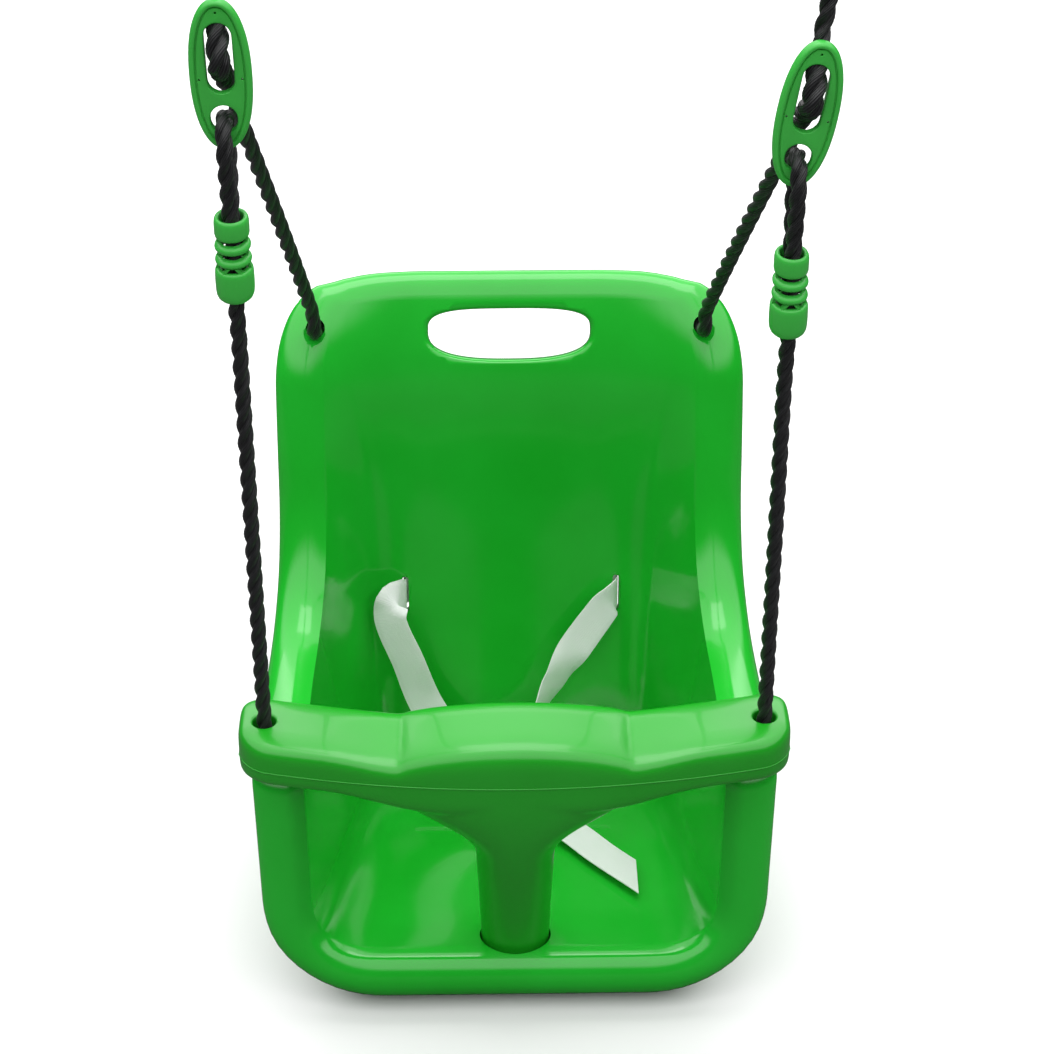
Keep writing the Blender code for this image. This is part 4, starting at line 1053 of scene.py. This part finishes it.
def main_rope(side, sign):
    """A main rope from its short end in the upper clamp, through the plate, to the knot behind the back."""
    hole = Vector((sign * REAR_HOLE[0], *REAR_HOLE[1:]))
    _, facing = back_direction(REAR_HOLE_ALONG)
    entry = hole - facing * (REAR_KNOT_BEHIND - 0.010)
    knot = stopper_knot(entry, -facing, Vector((-sign, 0, 0)))
    corners = hanging_rope_corners(side, sign) + rear_rope_corners(side, sign) + [entry] + knot
    points = smooth_path(corners, ROPE_STEP * 0.9)
    in_knot = knot_scales([(p - hole).dot(-facing) > REAR_KNOT_BEHIND - 0.015 for p in points])
    scales = [a * b for a, b in zip(in_knot, slot_scales(points, plate_place(side, sign)))]
    rounded_end(scales, False)
    rounded_end(scales, True)
    below_plate = PLATE_HOLE_UP[side] + SLOT_CENTRE - SLOT_HALF
    lays = [REAR_LAY_LENGTH if p.z < below_plate else LAY_LENGTH for p in points]
    return laid_rope(f"hanging_rope_{side}_laid", points, scales, lays)


def build_ropes(fibre):
    for side, sign in SIDES.items():
        rope = front_rope(side, sign)
        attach(rope, "seat")
        finish_piece(rope, fibre, 48, "rope", f"front_rope_{side}")
        rope = main_rope(side, sign)
        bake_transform(rope)
        finish_piece(rope, fibre, 48, "rope", f"hanging_rope_{side}", f"rear_rope_{side}")


def knot_scales(inside):
    """A rope's thickness along its points: pulled thinner inside its knot, over a few rings."""
    reach = 4
    raw = [KNOT_TIGHTNESS if held else 1.0 for held in inside]
    scales = []
    for k in range(len(raw)):
        near = raw[max(k - reach, 0):k + reach + 1]
        scales.append(sum(near) / len(near))
    return scales


def slot_scales(points, place):
    """A main rope's thickness along its points: its lay opens where it bends through a plate's slot."""
    to_plate = place.inverted()
    beyond = [abs((to_plate @ p).z - SLOT_CENTRE) for p in points]
    return [1 + SLOT_SWELL * (1 - smooth_step(0.012, 0.026, far)) for far in beyond]


# --- plates, clamps, hangers ------------------------------------------------------------------------

def build_plate(side, sign, plastic):
    """An oval adjuster plate: round rim, fine groove, lower face, slot, rope hole and mould pin marks."""
    half = PLATE_THICKNESS / 2
    profile = [(0.0001, 0.0010), (0.0004, 0.0022), (0.0011, 0.0033), (0.0019, 0.0039), (0.0027, half),
               (0.0033, 0.0038), (0.0037, 0.0031), (0.0038, 0.0023), (0.0043, 0.0022), (0.0046, 0.0029),
               (0.0052, 0.0030)]
    loops = [(inset, -height) for inset, height in reversed(profile)] + [(0.0, 0.0)] + profile
    place = plate_place(side, sign)
    facing = place @ Matrix.Translation((0, 0, PLATE_CENTRE)) @ Matrix.Rotation(math.radians(90), 4, "X")
    outline = oval(PLATE_WIDTH / 2, PLATE_LENGTH / 2, 72, 2.25)
    sections = []
    for inset, height in loops:
        sections.append([facing @ Vector((x, y, height)) for x, y in grown(outline, -inset)])
    plate = solid_of(f"adjuster_plate_{side}", sections)
    axis = (facing.to_3x3() @ UP).normalized()
    across = (facing.to_3x3() @ Vector((1, 0, 0))).normalized()
    face = 0.0030
    pin = circle(PIN_MARK_R, 12)
    openings = [(stadium_outline(SLOT_HALF, SLOT_R), SLOT_CENTRE, 0.0, OPENING_ROUNDING),
                (stadium_outline(PLATE_HOLE_R + 0.0006, PLATE_HOLE_R), 0.0, 0.0, OPENING_ROUNDING),
                (pin, SLOT_CENTRE + 0.0268, 0.0, PIN_MARK_ROUNDING),
                (pin, SLOT_CENTRE - 0.0123, 0.0121, PIN_MARK_ROUNDING),
                (pin, SLOT_CENTRE - 0.0123, -0.0121, PIN_MARK_ROUNDING)]
    for shape, up, out, rounding in openings:
        spot = along_axis(place @ Vector((out, 0, up)), axis, across)
        cut(plate, flared_cutter("opening", shape, spot, face, -face, rounding, 0.004))
    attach(plate, "seat")
    finish_piece(plate, plastic, 40, "clamp_plastic", f"rope_plate_{side}")


def ring_part(bm, place, profile):
    """A closed ring: a loop of (radius, height) steps carried round the clamp's oval."""
    sections = []
    for radius, height in profile:
        outline = oval(radius, radius + CLAMP_EXTRA_DEPTH, 56, CLAMP_OVAL_POWER)
        sections.append([place @ Vector((x, y, height)) for x, y in outline])
    loft_round(bm, sections)


def clamp_rings():
    """The clamp's four rings from top to bottom, each as its outline from bore to bore."""
    bore = CLAMP_BORE
    collar = [(bore, 0.0514), (0.0076, 0.0522), (0.0086, 0.0525), (0.0094, 0.0521), (0.0100, 0.0510),
              (0.0103, 0.0490), (0.0103, 0.0424), (0.0100, 0.0410), (0.0092, 0.0402), (0.0080, 0.0400),
              (bore, 0.0400)]
    disc = [(bore, 0.0372), (0.0086, 0.0369), (0.0098, 0.0361), (0.0105, 0.0351), (0.0107, 0.0341),
            (0.0105, 0.0331), (0.0098, 0.0322), (0.0086, 0.0315), (bore, 0.0312)]
    skirt = [(bore, 0.0285), (0.0086, 0.0282), (0.0099, 0.0274), (0.0106, 0.0264), (0.0108, 0.0255),
             (0.0106, 0.0246), (0.0100, 0.0240), (0.0092, 0.0236), (0.0088, 0.0230), (bore, 0.0230)]
    cup = [(bore, 0.0199), (0.0082, 0.0203), (0.0096, 0.0203), (0.0106, 0.0199), (0.0112, 0.0188),
           (0.0114, 0.0167), (0.0115, 0.0114), (0.0114, 0.0062), (0.0111, 0.0037), (0.0103, 0.0018),
           (0.0090, 0.0005), (0.0078, 0.0001), (bore, 0.0002)]
    return [collar, disc, skirt, cup]


def clamp_webs(bm, place):
    """Ribs that tie the rings together at the sides, and a V of two ribs above the cup, front and back."""
    half_width, half_depth = 0.0009, 0.0024
    ribs = []
    for sign in SIDES.values():
        out = sign * (CLAMP_BORE + 0.0012)
        for low, high in ((0.0283, 0.0314), (0.0370, 0.0402)):
            ribs.append(((out, 0.0, low), (out, 0.0, high)))
        ribs.append(((sign * 0.0098, 0.0, 0.0195), (sign * 0.0086, 0.0, 0.0234)))
        for face in (-1, 1):
            ribs.append(((sign * 0.0052, face * 0.0088, 0.0195), (sign * 0.0022, face * 0.0096, 0.0234)))
    for low, high in ribs:
        sections = []
        for x, y, z in (low, high):
            sections.append([place @ Vector((x + a * half_width, y + b * half_depth, z))
                             for a, b in ((-1, -1), (1, -1), (1, 1), (-1, 1))])
        loft(bm, sections)


def build_clamp(side, level, body, top, down, plastic):
    up = -down
    across = Vector((0, 1, 0)).cross(up).normalized()
    turn = Matrix((across, up.cross(across), up)).transposed().to_4x4()
    place = Matrix.Translation(top + down * CLAMP_HEIGHT) @ turn
    bm = bmesh.new()
    for ring in clamp_rings():
        ring_part(bm, place, ring)
    clamp_webs(bm, place)
    bmesh.ops.recalc_face_normals(bm, faces=bm.faces)
    clamp = new_object(f"{level}_rope_clamp_{side}", bm)
    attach(clamp, body)
    finish_piece(clamp, plastic, 40, "clamp_plastic", f"{level}_clamp_{side}")


def build_ring(side, sign, steel):
    """A welded wire ring with its weld bead at the top."""
    centre = Vector((sign * HANGER_X, rock_point(side, sign).y, HANGER_UP + RING_R))
    bm = bmesh.new()
    sections = []
    for k in range(96):
        angle = 2 * math.pi * k / 96
        out = Vector((math.sin(angle), 0, math.cos(angle)))
        from_weld = min(angle, 2 * math.pi - angle) - 0.12
        wire_r = RING_WIRE_R * (1 + 0.10 * math.exp(-(from_weld / 0.055) ** 2))
        sections.append([centre + out * (RING_R + x) + Vector((0, y, 0)) for x, y in circle(wire_r, 20)])
    loft_round(bm, sections)
    bmesh.ops.recalc_face_normals(bm, faces=bm.faces)
    ring = new_object(f"welded_ring_{side}", bm)
    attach(ring, "hangers")
    finish_piece(ring, steel, 60, "ring_steel", f"hanger_ring_{side}")


def build_hangings(plastic, steel):
    for side, sign in SIDES.items():
        build_plate(side, sign, plastic)
        lower_top = Vector((sign * ROPE_X, ROPE_Y, PLATE_HOLE_UP[side] - CLAMP_TOP_BELOW_HOLE))
        build_clamp(side, "lower", "seat", lower_top, DOWN, plastic)
        bend = rock_point(side, sign)
        ring = Vector((sign * HANGER_X, bend.y, HANGER_UP))
        lean = (bend - ring).normalized()
        upper_top = ring + lean * UPPER_CLAMP_TOP
        build_clamp(side, "upper", "hanging_ropes", upper_top, lean, plastic)
        build_ring(side, sign, steel)


# --- belt -------------------------------------------------------------------------------------------

def belt_frames():
    """The belt's middle line and the direction of its width, from one free end to the other."""
    left = belt_slot(-1)
    right = belt_slot(1)
    run, facing = back_direction(BELT_SLOT_UP)
    behind = -facing * (WALL + 0.0035)
    left_side = [
        ((0.0880, -0.0520, 0.0345), (0.75, 0.66, 0.0)),
        ((0.0640, -0.0200, 0.0300), (0.72, 0.69, 0.0)),
        ((0.0404, 0.0120, 0.0275), (0.60, 0.80, 0.0)),
        ((0.0020, 0.0420, 0.0330), (0.60, 0.78, 0.12)),
        ((-0.0340, 0.0620, 0.0560), (0.84, 0.44, 0.28)),
        ((-0.0619, 0.0770, 0.0918), (0.96, 0.08, 0.24)),
        ((-0.0764, 0.0800, 0.1330), (0.95, -0.15, 0.20)),
        ((-0.0880, 0.0840, 0.1646), (0.84, -0.20, 0.50)),
        ((-0.0865, 0.0880, 0.1785), (0.62, -0.25, -0.74)),
        ((-0.0812, 0.0970, 0.1776), (0.12, 0.0, -0.99)),
    ]
    right_side = [
        ((0.0750, 0.1020, 0.1725), (0.02, 0.0, -0.99)),
        ((0.0690, 0.0960, 0.1675), (0.42, -0.05, -0.90)),
        ((0.0480, 0.0880, 0.1385), (0.64, -0.10, -0.76)),
        ((0.0330, 0.0830, 0.1130), (0.60, 0.50, -0.62)),
        ((0.0210, 0.0760, 0.0900), (0.45, 0.80, -0.38)),
        ((0.0060, 0.0640, 0.0600), (0.55, 0.78, -0.25)),
        ((-0.0100, 0.0420, 0.0380), (0.80, -0.58, -0.15)),
        ((-0.0240, 0.0150, 0.0300), (0.86, -0.50, -0.03)),
    ]
    inward = Vector((0.009, 0, 0))
    through = [left + facing * 0.002, left + behind * 0.85, left + behind * 1.2 + inward,
               right + behind * 1.2 - inward, right + behind * 0.85, right + facing * 0.002]
    frames = left_side + [(p, -run) for p in through] + right_side
    return [(Vector(p), Vector(w).normalized()) for p, w in frames]


def belt_width_at(spots, widths, share):
    """The width direction, turned evenly between the belt's stations."""
    i, t = chord_at(chord_distances(spots), share)
    return widths[i].lerp(widths[i + 1], smooth_step(0, 1, t))


def build_belt(fabric):
    frames = belt_frames()
    spots = [p for p, _ in frames]
    widths = [w for _, w in frames]
    half = BELT_THICKNESS / 2
    ring_places = [(s, half * (1 if abs(s) < 0.99 else 0.5)) for s in evenly(-1, 1, 10)]
    ring_places += [(s, -t) for s, t in reversed(ring_places)]
    sections = []
    lengths = [0.0]
    middles = []
    for share in evenly(0, 1, 240):
        middle = through_chords(spots, share)
        ahead = through_chords(spots, min(share + 0.003, 1)) - through_chords(spots, max(share - 0.003, 0))
        ahead.normalize()
        width = belt_width_at(spots, widths, share)
        width = (width - ahead * width.dot(ahead)).normalized()
        lift = ahead.cross(width)
        slant = 0.0165 * max(0.0, 1 - share / 0.05)
        if middles:
            lengths.append(lengths[-1] + (middle - middles[-1]).length)
        middles.append(middle)
        sections.append([middle + width * s * BELT_WIDTH / 2 + ahead * slant * s + lift * t
                         for s, t in ring_places])
    edges = [s * BELT_WIDTH / 2 for s, _ in ring_places]
    belt = laid_skin("lap_belt_webbing", sections, lengths, list(zip(edges, edges[1:] + edges[:1])))
    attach(belt, "seat")
    finish_piece(belt, fabric, 60, "belt_webbing", "lap_belt")


# --- stage ------------------------------------------------------------------------------------------

def build_floor():
    """A pale floor that looks nearly white but throws only a little light up onto the swing."""
    bm = bmesh.new()
    bmesh.ops.create_grid(bm, x_segments=1, y_segments=1, size=8)
    floor = new_object("floor", bm)
    made, tree, shader = new_material("pale floor")
    rays = node(tree, "LightPath")
    dim = mixed(tree, rays.outputs["Is Glossy Ray"], (0.30, 0.30, 0.30, 1), (0.08, 0.08, 0.08, 1))
    colour = mixed(tree, rays.outputs["Is Camera Ray"], dim, (0.82, 0.82, 0.82, 1))
    give(tree, shader, Base_Color=colour, Roughness=0.8, Specular_IOR_Level=0.1)
    floor.data.materials.append(made)


def area_light(name, place, target, size, power):
    light = bpy.data.lights.new(name, "AREA")
    light.shape = "RECTANGLE"
    light.size, light.size_y = size
    light.energy = power
    obj = bpy.data.objects.new(name, light)
    obj.location = place
    obj.rotation_euler = (Vector(target) - Vector(place)).to_track_quat("-Z", "Y").to_euler()
    obj.visible_camera = False
    bpy.context.scene.collection.objects.link(obj)


def build_lights():
    """A bright dome over a dark horizon, a softbox behind it, and a sky that looks white to the camera."""
    area_light("back softbox", (0, 2.8, 1.7), (0, 0, 0.4), (4.0, 1.3), 24)
    area_light("overhead softbox", (0, 0.3, 2.8), (0, 0, 0), (1.6, 1.6), 22)
    world = bpy.data.worlds.new("studio")
    bpy.context.scene.world = world
    world.use_nodes = True
    tree = world.node_tree
    background = tree.nodes["Background"]
    direction = node(tree, "TexCoord").outputs["Generated"]
    height = node(tree, "SeparateXYZ", Vector=direction).outputs["Z"]
    glow = to_range(tree, height, 0.37, 0.54, 0.05, 1.80)
    dome = node(tree, "CombineXYZ", X=glow, Y=glow, Z=glow).outputs["Vector"]
    seen = node(tree, "LightPath").outputs["Is Camera Ray"]
    tree.links.new(mixed(tree, seen, dome, (1, 1, 1, 1)), background.inputs["Color"])
    background.inputs["Strength"].default_value = 1.0


def build_camera():
    camera = bpy.data.cameras.new("camera")
    camera.sensor_width = 36
    camera.lens = 89.2
    obj = bpy.data.objects.new("camera", camera)
    obj.location = (-0.016, -1.499, 1.234)
    obj.rotation_euler = (math.radians(58), 0, math.radians(-1))
    bpy.context.scene.collection.objects.link(obj)
    bpy.context.scene.camera = obj


def build_scene():
    build_bucket()
    build_t_bar()
    build_ropes(rope_fibre())
    clamp_plastic = moulded_plastic("clamp plastic", *CLAMP_GREENS, 0.30, 0.00006, 0.00003, 0.0)
    build_hangings(clamp_plastic, plated_steel())
    build_belt(webbing())
    build_floor()
    build_lights()
    build_camera()
    bpy.context.scene.view_settings.view_transform = "Standard"


build_scene()
